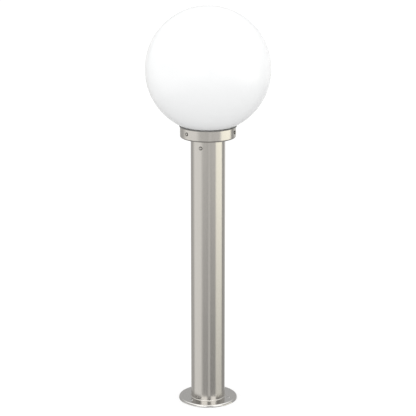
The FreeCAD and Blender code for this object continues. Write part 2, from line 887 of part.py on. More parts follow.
def terminal_block():
    """Moulded three-pole block: a shaft for each clamp and an access hole for each screw."""
    depth = dim("block_depth")
    height = dim("block_height")
    access = dim("terminal_head") + 4 * dim("thread_gap")
    half_width = dim("pole_pitch") + dim("block_end")
    slab = box(
        "block_slab",
        2 * half_width,
        depth,
        height,
        -half_width,
        BLOCK_FRONT,
        BLOCK_TOP - height,
    )
    tools = []
    for pole, x in enumerate(POLES):
        tools.append(rod(f"block_shaft_{pole}", CLAMP_HOLE, height, x, 0, BLOCK_TOP - height))
        for row, z in enumerate(SCREW_ROWS):
            tools.append(rod(f"block_access_{pole}_{row}", access, -BLOCK_FRONT, x, 0, z, FORWARD))
    for number, x in enumerate((POLES[0] / 2, POLES[2] / 2)):
        back = dim("bracket_leg")
        tools.append(rod(f"block_hole_{number}", TERMINAL_HOLE, depth, x, back, BLOCK_MIDDLE, FORWARD))
    return cut("terminal_block", slab, tools)


def terminal_clamps():
    """Brass tubes that grip the conductors, tapped on the front for two screws each."""
    clamps = []
    length = dim("clamp_length")
    for pole, x in enumerate(POLES):
        tube = rod(f"clamp_tube_{pole}", dim("clamp_od"), length, x, 0, CLAMP_BOTTOM)
        tools = [rod(f"clamp_bore_{pole}", dim("clamp_bore"), length, x, 0, CLAMP_BOTTOM)]
        for row, z in enumerate(SCREW_ROWS):
            reach = dim("clamp_od")
            tools.append(rod(f"clamp_tap_{pole}_{row}", TERMINAL_HOLE, reach, x, 0, z, FORWARD))
        clamps.append(cut(f"clamp_{pole}", tube, tools))
    return group("terminal_clamps", clamps)


def small_screw(label, length):
    return pan_screw(
        label,
        length,
        dim("terminal_thread"),
        dim("terminal_head"),
        dim("terminal_head_height"),
    )


def terminal_screws():
    """Clamping screws, their tips on the conductors."""
    tip = -dim("lead_od") / 2 - dim("thread_gap")
    head = -dim("clamp_od") / 2 - dim("soft_gap")
    screws = []
    for pole, x in enumerate(POLES):
        for row, z in enumerate(SCREW_ROWS):
            screw = small_screw(f"clamp_screw_{pole}_{row}", tip - head)
            screws.append(put(screw, x, tip, z, FORWARD))
    return group("terminal_screws", screws)


def block_screws():
    """Two screws that hold the block to its bracket."""
    back = dim("bracket_leg") + dim("bracket_sheet")
    screws = []
    for number, x in enumerate((POLES[0] / 2, POLES[2] / 2)):
        screw = small_screw(f"block_screw_{number}", back - BLOCK_FRONT)
        screws.append(put(screw, x, back, BLOCK_MIDDLE, FORWARD))
    return group("block_screws", screws)


def earth_parts():
    """Ring terminal under the sleeve's web, its barrel hanging down beside it, and its screw."""
    thickness = dim("lug_sheet")
    barrel = dim("lug_barrel")
    length = dim("lug_barrel_length")
    reach = dim("lug_reach")
    azimuth = dim("earth_azimuth")
    whole = fuse(
        "lug_whole",
        [
            rod("lug_eye", dim("lug_od"), thickness, 0, 0, 0),
            box("lug_tongue", reach, barrel, thickness, 0, -barrel / 2, 0),
            rod("lug_tube", barrel, length, reach, 0, -length),
        ],
    )
    tools = [
        rod("lug_hole", CLEAR_HOLE, thickness, 0, 0, 0),
        rod("lug_bore", LEAD_HOLE, length - thickness, reach, 0, -length),
    ]
    x = EARTH_R * sine(azimuth)
    y = -EARTH_R * cosine(azimuth)
    swing = Rotation(Vector(0, 0, 1), azimuth.number)
    put(cut("earth_lug", whole, tools), x, y, LUG_BOTTOM, swing)

    grip = thickness + dim("sleeve_wall") - dim("soft_gap")
    screw = pan_screw(
        "earth_screw", grip, dim("screw_thread"), dim("screw_head"), dim("screw_head_height")
    )
    put(screw, x, y, LUG_BOTTOM + grip, Rotation(Vector(1, 0, 0), 180))


# ---------------------------------------------------------------- lamp holder


def holder_base():
    """Lower shell of the lamp holder, screwed on the nipple."""
    floor = HOLDER_BOTTOM + dim("holder_floor")
    bevel = dim("holder_floor")
    return turned(
        "holder_base",
        [
            Corner(NIPPLE_HOLE, HOLDER_BOTTOM),
            Corner(HOLDER_R - bevel, HOLDER_BOTTOM),
            Corner(HOLDER_R, HOLDER_BOTTOM + bevel),
            Corner(HOLDER_R, INSERT_BOTTOM),
            Corner(HOLDER_INNER, INSERT_BOTTOM),
            Corner(HOLDER_INNER, floor + dim("holder_wall")),
            Corner(HOLDER_INNER - dim("holder_wall"), floor),
            Corner(NIPPLE_HOLE, floor),
        ],
    )


def holder_insert():
    """Insulating disc between the shells, with a spigot below and two holes for the leads."""
    low = INSERT_BOTTOM - dim("holder_spigot")
    spigot = HOLDER_INNER - dim("sleeve_gap")
    body = turned(
        "holder_insert",
        [
            Corner(0, low),
            Corner(spigot, low),
            Corner(spigot, INSERT_BOTTOM),
            Corner(HOLDER_R, INSERT_BOTTOM),
            Corner(HOLDER_R, INSERT_TOP),
            Corner(0, INSERT_TOP),
        ],
    )
    for side in (-1, 1):
        x = side * dim("lead_hole_spread")
        hole = circle_sketch(body, "XY_Plane", x, sized(0), LEAD_HOLE, low)
        remove(body, hole, 2 * dim("holder_spigot"), reverse=True)
    return body


def holder_skirt():
    """Upper shell of the lamp holder, its lip round the lamp's cap."""
    lip = SHELL_R + dim("soft_gap")
    return turned(
        "holder_skirt",
        [
            Corner(HOLDER_INNER, INSERT_TOP),
            Corner(HOLDER_R, INSERT_TOP),
            Corner(HOLDER_R, HOLDER_TOP),
            Corner(lip, HOLDER_TOP),
            Corner(lip, HOLDER_TOP - dim("holder_lip")),
            Corner(HOLDER_INNER, HOLDER_TOP - dim("holder_lip")),
        ],
    )


def screw_shell():
    """Thin threaded sleeve that the lamp's cap turns in, flanged on the insert."""
    thickness = dim("cap_sheet")
    flange = HOLDER_INNER - dim("sleeve_gap")
    return turned(
        "screw_shell",
        [
            Corner(SHELL_BORE, INSERT_TOP),
            Corner(flange, INSERT_TOP),
            Corner(flange, INSERT_TOP + thickness),
            Corner(SHELL_R, INSERT_TOP + thickness),
            Corner(SHELL_R, HOLDER_TOP - dim("holder_lip") / 2),
            Corner(SHELL_BORE, HOLDER_TOP - dim("holder_lip") / 2),
        ],
    )


def centre_contact():
    """Bent tongue on the insert, its tip just under the lamp's centre contact."""
    thickness = dim("contact_sheet")
    heel = -dim("cap_tip")
    bend = heel + dim("contact_width")
    tongue = CAP_END - dim("soft_gap")
    body = doc.addObject("PartDesign::Body", "centre_contact")
    body.Label = "centre_contact"
    side = new_sketch(body, "XZ_Plane")
    draw_outline(
        side,
        [
            Corner(heel, INSERT_TOP),
            Corner(bend, INSERT_TOP),
            Corner(-heel / 6, tongue - thickness),
            Corner(-heel / 2, tongue - thickness),
            Corner(-heel / 2, tongue),
            Corner(0, tongue),
            Corner(bend - thickness, INSERT_TOP + thickness),
            Corner(heel, INSERT_TOP + thickness),
        ],
    )
    pad(body, side, dim("contact_width"))
    return body


# ---------------------------------------------------------------- lamp


def lamp_cap():
    """Threaded cap shell of the lamp, its insulating cone and its centre contact."""
    thickness = dim("cap_sheet")
    turned("lamp_cap", ring(CAP_R - thickness, CAP_R, CONE_TOP, CAP_TOP))
    turned(
        "lamp_cap_insulator",
        [
            Corner(0, CONE_BOTTOM),
            Corner(dim("cap_tip") / 2 + thickness, CONE_BOTTOM),
            Corner(CAP_R, CONE_TOP),
            Corner(0, CONE_TOP),
        ],
    )
    turned(
        "lamp_tip",
        [
            Corner(0, CAP_END),
            Corner(dim("cap_tip") / 2 - thickness, CAP_END),
            Corner(dim("cap_tip") / 2, CONE_BOTTOM),
            Corner(0, CONE_BOTTOM),
        ],
    )


def rim_radius(radius):
    """Radius at the rim's level of a ball of this radius about the lamp's centre."""
    drop = dim("lamp_rim_drop")
    return root(radius * radius - drop * drop)


def lamp_housing():
    """Conical heat-spreading housing, its spigot inside the cap and a ledge for the board."""
    wall = dim("lamp_wall")
    rim = rim_radius(LAMP_R)
    neck = CAP_R + dim("lamp_shoulder")
    return turned(
        "lamp_housing",
        [
            Corner(SPIGOT_R - wall, CAP_TOP - dim("lamp_spigot")),
            Corner(SPIGOT_R, CAP_TOP - dim("lamp_spigot")),
            Corner(SPIGOT_R, CAP_TOP),
            Corner(neck, CAP_TOP),
            Corner(rim, LAMP_RIM),
            Corner(rim - dim("lamp_ledge"), LAMP_RIM),
            Corner(SPIGOT_R - wall, CAP_TOP + wall),
        ],
    )


def lamp_diffuser():
    """Opal dome of the lamp."""
    inner = LAMP_R - dim("lamp_wall")
    return turned(
        "lamp_diffuser",
        [
            Corner(rim_radius(inner), LAMP_RIM, bind="z"),
            Corner(rim_radius(LAMP_R), LAMP_RIM),
            Arc(0, LAMP_CENTRE),
            Corner(0, LAMP_TOP, bind="r"),
            Corner(0, LAMP_TOP - dim("lamp_wall")),
            Arc(0, LAMP_CENTRE, clockwise=True),
        ],
    )


def led_board():
    """Round board on the housing's ledge, with a ring of chips on it."""
    top = LAMP_RIM + dim("board_sheet")
    edge = rim_radius(LAMP_R - dim("lamp_wall")) - dim("soft_gap")
    rod("led_board", 2 * edge, dim("board_sheet"), 0, 0, LAMP_RIM)
    side = dim("chip_size")
    chips = []
    for number in range(8):
        angle = sized(45 * number)
        x = dim("chip_circle") / 2 * sine(angle) - side / 2
        y = dim("chip_circle") / 2 * cosine(angle) - side / 2
        chips.append(box(f"led_chip_{number + 1}", side, side, dim("chip_height"), x, y, top))
    return group("led_chips", chips)


def lamp_driver():
    """Upright circuit card under the board, with a capacitor and a choke on its faces."""
    card = dim("board_sheet")
    width = dim("driver_width")
    low = CAP_TOP - dim("lamp_spigot") / 2
    pieces = [
        box("driver_card", width, card, LAMP_RIM - low, -width / 2, -card / 2, low),
        rod("driver_capacitor", width / 2, width, 0, width / 4, low + card),
        box("driver_choke", width / 2, width / 3, width / 2, -width / 4, -card / 2 - width / 3, CAP_TOP),
    ]
    return fuse("lamp_driver", pieces)


# ---------------------------------------------------------------- leads




def lead(label, points):
    """A round lead along straight runs joined by tangent arcs as large as the runs allow."""
    corners = [Vector(*(sized(value).number for value in point)) for point in points]
    edges = []
    last = corners[0]
    for before, corner, after in zip(corners, corners[1:], corners[2:]):
        inward = (before - corner).normalize()
        outward = (after - corner).normalize()
        reach = ARC_SHARE * min((before - corner).Length, (after - corner).Length)
        half_turn = (math.pi - inward.getAngle(outward)) / 2
        radius = reach / math.tan(half_turn)
        start = corner + inward * reach
        finish = corner + outward * reach
        middle = (inward + outward).normalize()
        crown = corner + middle * (radius / math.cos(half_turn) - radius)
        edges.append(Part.LineSegment(last, start).toShape())
        edges.append(Part.Arc(start, crown, finish).toShape())
        last = finish
        print(f"{label}: bend radius {radius:.1f} mm")
    edges.append(Part.LineSegment(last, corners[-1]).toShape())
    path = Part.Wire(edges)
    radius = dim("lead_od").number / 2
    circle = Part.Circle(corners[0], corners[1] - corners[0], radius).toShape()
    solid = path.makePipeShell([Part.Wire([circle])], True, False)
    expected = math.pi * radius**2 * path.Length
    if abs(solid.Volume - expected) > 0.01 * expected:
        raise RuntimeError(f"{label} swept to {solid.Volume:.1f}, expected {expected:.1f}")
    piece = doc.addObject("Part::Feature", label)
    piece.Shape = solid
    return piece


def leads():
    """Live and neutral run up through the nipple to the holder; earth runs to the lug."""
    clamped = BLOCK_TOP - LEAD_TAIL
    over_block = BLOCK_TOP + LEAD_TAIL
    into_nipple = NIPPLE_BOTTOM - LEAD_TAIL
    out_of_nipple = NIPPLE_TOP + dim("lead_od")
    under_insert = INSERT_BOTTOM - dim("holder_spigot") - LEAD_TAIL
    seated = INSERT_BOTTOM
    for label, side in (("lead_live", -1), ("lead_neutral", 1)):
        pole = POLES[0] if side < 0 else POLES[1]
        inside = side * LEAD_SPREAD
        hole = side * dim("lead_hole_spread")
        lead(
            label,
            [
                (pole, 0, clamped),
                (pole, 0, over_block),
                (inside, 0, into_nipple),
                (inside, 0, out_of_nipple),
                (hole, 0, under_insert),
                (hole, 0, seated),
            ],
        )
    azimuth = dim("earth_azimuth")
    barrel_x = EARTH_R * sine(azimuth) + dim("lug_reach") * cosine(azimuth)
    barrel_y = -EARTH_R * cosine(azimuth) + dim("lug_reach") * sine(azimuth)
    barrel_low = LUG_BOTTOM - dim("lug_barrel_length")
    lead(
        "lead_earth",
        [
            (POLES[2], 0, clamped),
            (POLES[2], 0, over_block),
            (barrel_x, barrel_y, barrel_low - LEAD_TAIL),
            (barrel_x, barrel_y, barrel_low + LEAD_TAIL),
        ],
    )


# ---------------------------------------------------------------- build, check and write

for build in (
    base_plate,
    cable_grommet,
    foot_weld,
    post_tube,
    head_sleeve,
    post_screws,
    gallery_cup,
    cup_screws,
    globe_seal,
    globe,
    globe_neck,
    globe_screws,
    globe_screw_nuts,
    nipple_parts,
    terminal_bracket,
    terminal_block,
    terminal_clamps,
    terminal_screws,
    block_screws,
    earth_parts,
    holder_base,
    holder_insert,
    holder_skirt,
    screw_shell,
    centre_contact,
    lamp_cap,
    lamp_housing,
    lamp_diffuser,
    led_board,
    lamp_driver,
    leads,
):
    build()
doc.recompute()

NODES = [
    "base_plate",
    "cable_grommet",
    "foot_weld",
    "post_tube",
    "head_sleeve",
    "post_screws",
    "gallery_cup",
    "cup_screws",
    "globe_seal",
    "globe",
    "globe_neck",
    "globe_screw_1",
    "globe_screw_2",
    "globe_screw_3",
    "globe_screw_nuts",
    "nipple",
    "nipple_nuts",
    "nipple_washer",
    "terminal_bracket",
    "terminal_block",
    "terminal_clamps",
    "terminal_screws",
    "block_screws",
    "earth_lug",
    "earth_screw",
    "holder_base",
    "holder_insert",
    "holder_skirt",
    "screw_shell",
    "centre_contact",
    "lamp_cap",
    "lamp_cap_insulator",
    "lamp_tip",
    "lamp_housing",
    "lamp_diffuser",
    "led_board",
    "led_chips",
    "lamp_driver",
    "lead_live",
    "lead_neutral",
    "lead_earth",
]

faults = []
for piece in doc.Objects:
    if "Invalid" in piece.State or "Error" in piece.State:
        faults.append(f"{piece.Name}: {piece.State}")
for node in NODES:
    shape = doc.getObjectsByLabel(node)[0].Shape
    if shape.isNull() or not shape.isValid() or not shape.Solids:
        faults.append(f"{node}: no valid solid")
if faults:
    raise RuntimeError("; ".join(faults))

os.makedirs("parts", exist_ok=True)
for node in NODES:
    shape = doc.getObjectsByLabel(node)[0].Shape
    shape.exportStep(f"parts/{node}.step")
    print(f"{node}: {len(shape.Solids)} solid(s), {shape.Volume:.1f} mm3")
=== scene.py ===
"""Looks of a globe-topped bollard light, built around its packed engineering model.

The model's nodes keep their shape and place. This file gives them their finishes, puts finer
pieces in place of the threaded and moulded ones, and sets up a plain studio."""

import json
import math

import bmesh
import bpy
from mathutils import Matrix, Vector


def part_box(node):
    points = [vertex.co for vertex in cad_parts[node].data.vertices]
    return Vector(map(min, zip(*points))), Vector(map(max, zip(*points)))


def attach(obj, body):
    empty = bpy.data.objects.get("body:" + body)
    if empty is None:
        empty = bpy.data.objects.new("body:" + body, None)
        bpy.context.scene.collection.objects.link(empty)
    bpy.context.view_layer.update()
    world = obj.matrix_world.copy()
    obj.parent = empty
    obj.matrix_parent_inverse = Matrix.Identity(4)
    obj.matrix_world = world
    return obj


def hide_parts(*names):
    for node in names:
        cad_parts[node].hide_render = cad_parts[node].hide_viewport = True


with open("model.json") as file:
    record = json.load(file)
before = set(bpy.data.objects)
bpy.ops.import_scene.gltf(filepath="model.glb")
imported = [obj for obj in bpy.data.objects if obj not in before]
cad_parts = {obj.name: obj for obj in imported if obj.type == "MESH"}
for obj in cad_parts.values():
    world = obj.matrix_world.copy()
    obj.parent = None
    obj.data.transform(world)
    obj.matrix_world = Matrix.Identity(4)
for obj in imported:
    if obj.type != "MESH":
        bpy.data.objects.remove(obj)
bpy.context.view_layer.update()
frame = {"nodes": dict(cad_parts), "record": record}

bl_info = {
    "name": "Bollard light",
    "version": (1, 0, 0),
    "blender": (4, 5, 0),
    "location": "View3D > Sidebar > Bollard",
    "description": "Finishes, fine pieces and studio for a globe-topped bollard light",
    "category": "Object",
}

MM = 0.001
TURN = 2 * math.pi

# ---------------------------------------------------------------- shader trees


class Value:
    """A shader socket that takes part in Python arithmetic; each operation adds its Math node."""

    def __init__(self, tree, socket):
        self.tree = tree
        self.socket = socket

    def math(self, operation, *others, swap=False):
        node = self.tree.nodes.new("ShaderNodeMath")
        node.operation = operation
        operands = [self, *others]
        if swap:
            operands.reverse()
        for slot, operand in zip(node.inputs, operands):
            feed(self.tree, slot, operand)
        return Value(self.tree, node.outputs[0])

    def __add__(self, other):
        return self.math("ADD", other)

    __radd__ = __add__

    def __sub__(self, other):
        return self.math("SUBTRACT", other)

    def __rsub__(self, other):
        return self.math("SUBTRACT", other, swap=True)

    def __mul__(self, other):
        return self.math("MULTIPLY", other)

    __rmul__ = __mul__

    def __pow__(self, other):
        return self.math("POWER", other)

    def __rpow__(self, other):
        return self.math("POWER", other, swap=True)

    def __abs__(self):
        return self.math("ABSOLUTE")

    def between(self, low, high):
        """0 at low, 1 at high, smooth in between; low may be the larger."""
        node = self.tree.nodes.new("ShaderNodeMapRange")
        node.interpolation_type = "SMOOTHSTEP"
        for name, operand in (("Value", self), ("From Min", low), ("From Max", high)):
            feed(self.tree, node.inputs[name], operand)
        return Value(self.tree, node.outputs["Result"])


def feed(tree, slot, operand):
    """Links a Value to a node's input, or sets the input to a plain value."""
    if isinstance(operand, Value):
        tree.links.new(operand.socket, slot)
    elif slot.type == "RGBA":
        slot.default_value = (*operand[:3], 1.0)
    else:
        slot.default_value = operand


class Paint:
    """A node tree under construction, of a material or of the world."""

    def __init__(self, owner):
        owner.use_nodes = True
        self.tree = owner.node_tree
        self.tree.nodes.clear()

    def add(self, kind, output=0, settings=None, **inputs):
        """Adds a node: its type, then its settings, then its inputs by name or by position."""
        node = self.tree.nodes.new(f"ShaderNode{kind}")
        for name, value in (settings or {}).items():
            setattr(node, name, value)
        for name, operand in inputs.items():
            key = int(name[1:]) if name[1:].isdigit() else name.replace("_", " ")
            feed(self.tree, node.inputs[key], operand)
        return Value(self.tree, node.outputs[output]) if node.outputs else None

    def mix(self, factor, first, second):
        """A colour between two others."""
        return self.add(
            "Mix", output=2, settings={"data_type": "RGBA"}, i0=factor, i6=first, i7=second
        )

    def lit(self, brightness, doubled=(2.0, 2.0, 2.0)):
        """A brightness from 0 to 2 as a colour, which is given doubled as a factor stops at 1."""
        return self.mix(brightness * 0.5, (0, 0, 0), doubled)

    def place(self):
        """The point being shaded, in metres, in the light's own frame, as a vector."""
        return self.add("TexCoord", output=3)

    def axes(self, vector):
        """The three parts of a vector."""
        first = self.add("SeparateXYZ", i0=vector)
        node = first.socket.node
        return [Value(self.tree, out) for out in node.outputs]

    def stretch(self, vector, scale):
        """A vector with each part scaled on its own."""
        return self.add("VectorMath", settings={"operation": "MULTIPLY"}, i0=vector, i1=scale)

    def noise(self, vector, scale, detail=2.0, roughness=0.5):
        return self.add(
            "TexNoise", Vector=vector, Scale=scale, Detail=detail, Roughness=roughness
        )

    def bump(self, height, depth, strength=1.0, normal=None):
        inputs = {"Height": height, "Distance": depth, "Strength": strength}
        if normal is not None:
            inputs["Normal"] = normal
        return self.add("Bump", **inputs)

    def finish(self, **inputs):
        """Ends a material in a Principled shader with these inputs."""
        surface = self.add("BsdfPrincipled", **inputs)
        self.add("OutputMaterial", Surface=surface)


_made = {}


def material(name, build):
    """The material of this name, built once."""
    if name not in _made:
        made = bpy.data.materials.new(name)
        build(Paint(made))
        _made[name] = made
    return _made[name]


# ---------------------------------------------------------------- finishes


def finishes():
    return bpy.context.scene.bollard_finishes


def drawn_steel(paint):
    """Satin tube: fine scratches round the axis, faint lengthwise drawing marks."""
    look = finishes()
    place = paint.place()
    scratches = paint.noise(paint.stretch(place, (40, 40, 5200)), 1.0, 3.0, 0.65)
    drawing = paint.noise(paint.stretch(place, (420, 420, 2.5)), 1.0, 2.0)
    clouds = paint.noise(place, 9.0, 3.0)
    tone = 0.93 + 0.10 * scratches + 0.04 * clouds
    colour = paint.mix(tone.between(0.9, 1.1), [c * 0.93 for c in look.steel], look.steel)
    rough = look.satin_roughness * (0.85 + 0.2 * scratches + 0.12 * clouds)
    paint.finish(
        Base_Color=colour,
        Metallic=1.0,
        Roughness=rough,
        Anisotropic=look.brushing,
        Anisotropic_Rotation=0.25,
        Normal=paint.bump(scratches * 0.7 + drawing * 0.3, 0.000004),
    )


def spun_steel(paint):
    """Spun sheet: the same satin, with a little more polish and spinning rings."""
    look = finishes()
    place = paint.place()
    rings = paint.noise(paint.stretch(place, (30, 30, 3800)), 1.0, 3.0, 0.6)
    clouds = paint.noise(place, 30.0, 2.0)
    colour = paint.mix(rings.between(0.2, 0.8), [c * 0.94 for c in look.steel], look.steel)
    rough = look.satin_roughness * (0.85 + 0.25 * rings + 0.1 * clouds)
    paint.finish(
        Base_Color=colour,
        Metallic=1.0,
        Roughness=rough,
        Anisotropic=look.brushing * 0.6,
        Anisotropic_Rotation=0.25,
        Normal=paint.bump(rings, 0.000004),
    )


def pressed_steel(paint):
    """Pressed and buffed sheet: faint turning rings on top, scuffs scattered over it."""
    look = finishes()
    place = paint.place()
    x, y, z = paint.axes(place)
    radius = (x * x + y * y) ** 0.5
    polar = paint.add("CombineXYZ", X=radius * 2600, Y=z * 900, Z=0.0)
    rings = paint.noise(polar, 1.0, 2.0)
    scuffs = paint.noise(paint.stretch(place, (60, 900, 60)), 1.0, 4.0, 0.7)
    clouds = paint.noise(place, 35.0, 3.0)
    worn = scuffs.between(0.55, 0.8) * clouds.between(0.4, 0.7)
    colour = paint.mix(worn * 0.5, look.base_steel, [c * 0.85 for c in look.base_steel])
    rough = look.buffed_roughness + 0.05 * clouds + 0.12 * worn
    paint.finish(
        Base_Color=colour,
        Metallic=1.0,
        Roughness=rough,
        Normal=paint.bump(rings * 0.7 + scuffs * 0.5, 0.000004),
    )


def bright_steel(paint):
    """Cold-headed fasteners, tumbled bright."""
    look = finishes()
    grain = paint.noise(paint.place(), 2200.0, 2.0)
    clouds = paint.noise(paint.place(), 260.0, 2.0)
    rough = 0.14 + 0.1 * clouds
    paint.finish(
        Base_Color=paint.mix(clouds * 0.4, look.steel, [c * 0.8 for c in look.steel]),
        Metallic=1.0,
        Roughness=rough,
        Normal=paint.bump(grain, 0.000006),
    )


def seam_shade(paint):
    """Painted shade: dark, dull metal in the seam under a screw's head and on the dome's edge, where
    shade falls.
    """
    clouds = paint.noise(paint.place(), 900.0, 3.0)
    paint.finish(
        Base_Color=paint.mix(clouds, (0.05, 0.047, 0.042), (0.13, 0.12, 0.11)),
        Metallic=0.4,
        Roughness=0.55 + 0.2 * clouds,
        Normal=paint.bump(clouds, 0.00002),
    )


def zinc(paint):
    """Zinc plate: cool grey with a faint spangle."""
    cells = paint.add("TexVoronoi", output=1, Vector=paint.place(), Scale=420.0)
    tone = paint.axes(cells)[0]
    clouds = paint.noise(paint.place(), 120.0, 3.0)
    paint.finish(
        Base_Color=paint.mix(tone * 0.6 + clouds * 0.3, (0.46, 0.48, 0.50), (0.62, 0.63, 0.63)),
        Metallic=1.0,
        Roughness=0.30 + 0.18 * tone,
        Normal=paint.bump(clouds, 0.00001),
    )


def turned_aluminium(paint):
    """Turned aluminium: fine tool rings up the height."""
    place = paint.place()
    rings = paint.noise(paint.stretch(place, (12, 12, 4200)), 1.0, 2.0)
    clouds = paint.noise(place, 60.0, 2.0)
    paint.finish(
        Base_Color=paint.mix(clouds, (0.68, 0.69, 0.70), (0.76, 0.77, 0.78)),
        Metallic=1.0,
        Roughness=0.24 + 0.12 * rings,
        Normal=paint.bump(rings, 0.000008),
    )


def brass(paint):
    """Drawn brass with slight tarnish."""
    clouds = paint.noise(paint.place(), 160.0, 4.0, 0.6)
    colour = paint.mix(clouds.between(0.4, 0.75), (0.78, 0.58, 0.26), (0.50, 0.34, 0.15))
    paint.finish(
        Base_Color=colour,
        Metallic=1.0,
        Roughness=0.22 + 0.2 * clouds,
        Normal=paint.bump(clouds, 0.00001),
    )


def nickel(paint):
    """Nickel-plated sheet."""
    clouds = paint.noise(paint.place(), 200.0, 3.0)
    paint.finish(
        Base_Color=paint.mix(clouds, (0.70, 0.68, 0.64), (0.60, 0.58, 0.54)),
        Metallic=1.0,
        Roughness=0.16 + 0.14 * clouds,
        Normal=paint.bump(clouds, 0.000006),
    )


def rubber(paint):
    """Dark grey rubber, rubbed to a slight sheen, with dust in its grain."""
    look = finishes()
    grain = paint.noise(paint.place(), 1800.0, 3.0)
    dust = paint.noise(paint.place(), 90.0, 4.0, 0.65).between(0.45, 0.8)
    paint.finish(
        Base_Color=paint.mix(dust * 0.5, look.rubber, [c * 1.7 for c in look.rubber]),
        Roughness=0.42 + 0.2 * grain,
        Normal=paint.bump(grain, 0.00003),
    )


def opal(paint):
    """Opal shade: milky white through and through, glossy skin, very faint flow."""
    look = finishes()
    flow = paint.noise(paint.place(), 7.0, 2.0)
    skin = paint.noise(paint.place(), 60.0, 2.0)
    paint.finish(
        Base_Color=paint.mix(flow, look.opal, [c * 0.985 for c in look.opal]),
        Roughness=0.16 + 0.06 * skin,
        Normal=paint.bump(skin, 0.00002),
        Subsurface_Weight=0.15,
        Subsurface_Radius=(0.006, 0.006, 0.006),
        Subsurface_Scale=1.0,
    )


def moulded(colour, roughness, grain_depth):
    """A moulded plastic: even colour with slight clouding and a spark-eroded grain."""

    def build(paint):
        grain = paint.noise(paint.place(), 1500.0, 2.0)
        clouds = paint.noise(paint.place(), 70.0, 3.0)
        paint.finish(
            Base_Color=paint.mix(clouds * 0.5, colour, [c * 0.88 for c in colour]),
            Roughness=roughness + 0.08 * clouds,
            Normal=paint.bump(grain, grain_depth),
        )

    return build


def circuit(paint):
    """Solder-masked board: tracks show as a faint lighter pattern."""
    cells = paint.add(
        "TexVoronoi",
        settings={"distance": "MANHATTAN", "feature": "F1"},
        Vector=paint.place(),
        Scale=330.0,
    )
    tracks = cells.between(0.30, 0.34)
    paint.finish(
        Base_Color=paint.mix(tracks, (0.05, 0.22, 0.10), (0.10, 0.34, 0.16)),
        Roughness=0.34 + 0.1 * tracks,
        Normal=paint.bump(tracks, 0.00003),
    )


def striped_lead(paint):
    """Green insulation with a yellow stripe down opposite sides."""
    x, _, z = paint.axes(paint.place())
    stripes = ((x * 2600.0 + z * 240.0).math("SINE")).between(-0.1, 0.1)
    paint.finish(
        Base_Color=paint.mix(stripes, (0.10, 0.42, 0.10), (0.86, 0.74, 0.08)),
        Roughness=0.42 + 0.05 * paint.noise(paint.place(), 300.0),
    )


FINISHES = {
    "post_steel": drawn_steel,
    "cup_steel": spun_steel,
    "base_steel": pressed_steel,
    "weld_metal": bright_steel,
    "screw_steel": bright_steel,
    "inner_steel": zinc,
    "sleeve_metal": turned_aluminium,
    "rubber_black": rubber,
    "opal_shade": opal,
    "brass": brass,
    "nickel_cap": nickel,
    "holder_black": moulded((0.030, 0.030, 0.032), 0.38, 0.00002),
    "insulator_black": moulded((0.020, 0.020, 0.022), 0.12, 0.000005),
    "lamp_white": moulded((0.54, 0.54, 0.535), 0.34, 0.00001),
    "lamp_dome": moulded((0.63, 0.63, 0.625), 0.50, 0.00001),
    "board_white": moulded((0.62, 0.63, 0.62), 0.35, 0.00001),
    "chip_yellow": moulded((0.86, 0.66, 0.12), 0.45, 0.00001),
    "driver_green": circuit,
    "block_grey": moulded((0.74, 0.74, 0.70), 0.42, 0.00002),
    "lead_brown": moulded((0.17, 0.07, 0.035), 0.40, 0.00001),
    "lead_blue": moulded((0.04, 0.14, 0.48), 0.40, 0.00001),
    "lead_green": striped_lead,
}

NODE_SLOT = {part["node"]: part["material_slot"] for part in frame["record"]["subparts"]}


def finish_of(slot):
    return material(slot, FINISHES[slot])


def dress(*nodes):
    """Gives CAD nodes the finish of their material slot."""
    for node in nodes:
        piece = frame["nodes"][node]
        for place in piece.material_slots:
            place.material = finish_of(NODE_SLOT[node])


# ---------------------------------------------------------------- shapes


def loft(rings, count=48, closed=False, shaded_bands=()):
    """A skin over rings round Z; a ring is a height and a radius, which may be a function of
    the angle. The ends are capped, or joined to each other if closed. The bands above the
    rings listed as shaded take the piece's second finish, a dark painted shade."""
    shape = bmesh.new()
    rows = []
    for height, radius in rings:
        row = []
        for step in range(count):
            angle = TURN * step / count
            reach = radius(angle) if callable(radius) else radius
            row.append(shape.verts.new((reach * math.cos(angle), reach * math.sin(angle), height)))
        rows.append(row)
    above = rows[1:] + rows[:1] if closed else rows[1:]
    for number, (low, high) in enumerate(zip(rows, above)):
        for step in range(count):
            following = (step + 1) % count
            face = shape.faces.new((low[step], low[following], high[following], high[step]))
            face.material_index = int(number in shaded_bands)
    if not closed:
        shape.faces.new(reversed(rows[0]))
        shape.faces.new(rows[-1])
    return shape


def hexagon(across, limit=1.0):
    """Radius of a hexagon, by its size across flats, no corner beyond limit metres."""

    def radius(angle):
        flat = across / 2 / math.cos(angle % (TURN / 6) - TURN / 12)
        return min(flat, limit)

    return radius


def ribbed(radius, depth, number):
    """Radius of a barrel with rounded grooves up its side."""

    def reach(angle):
        return radius - depth * (0.5 - 0.5 * math.cos(number * angle))

    return reach


def thread(low, high, crest, depth, pitch, plain=1.0, steps=8):
    """Rings of a screw thread from low to high, faded over a pitch at both ends to the crest
    (plain 1) or to the root (plain 0)."""
    rings = []
    total = round((high - low) / pitch * steps)
    for number in range(total + 1):
        height = low + (high - low) * number / total
        fade = min(1.0, (height - low) / pitch, (high - height) / pitch)

        def radius(angle, height=height, fade=fade):
            wave = 0.5 + 0.5 * math.cos(TURN * height / pitch - angle)
            return crest - depth * (1 - plain - fade * (wave - plain))

        rings.append((height, radius))
    return rings


def thicker(rings, extra):
    """The same rings, grown by a thickness."""
    return [(height, lambda angle, reach=reach: reach(angle) + extra) for height, reach in rings]


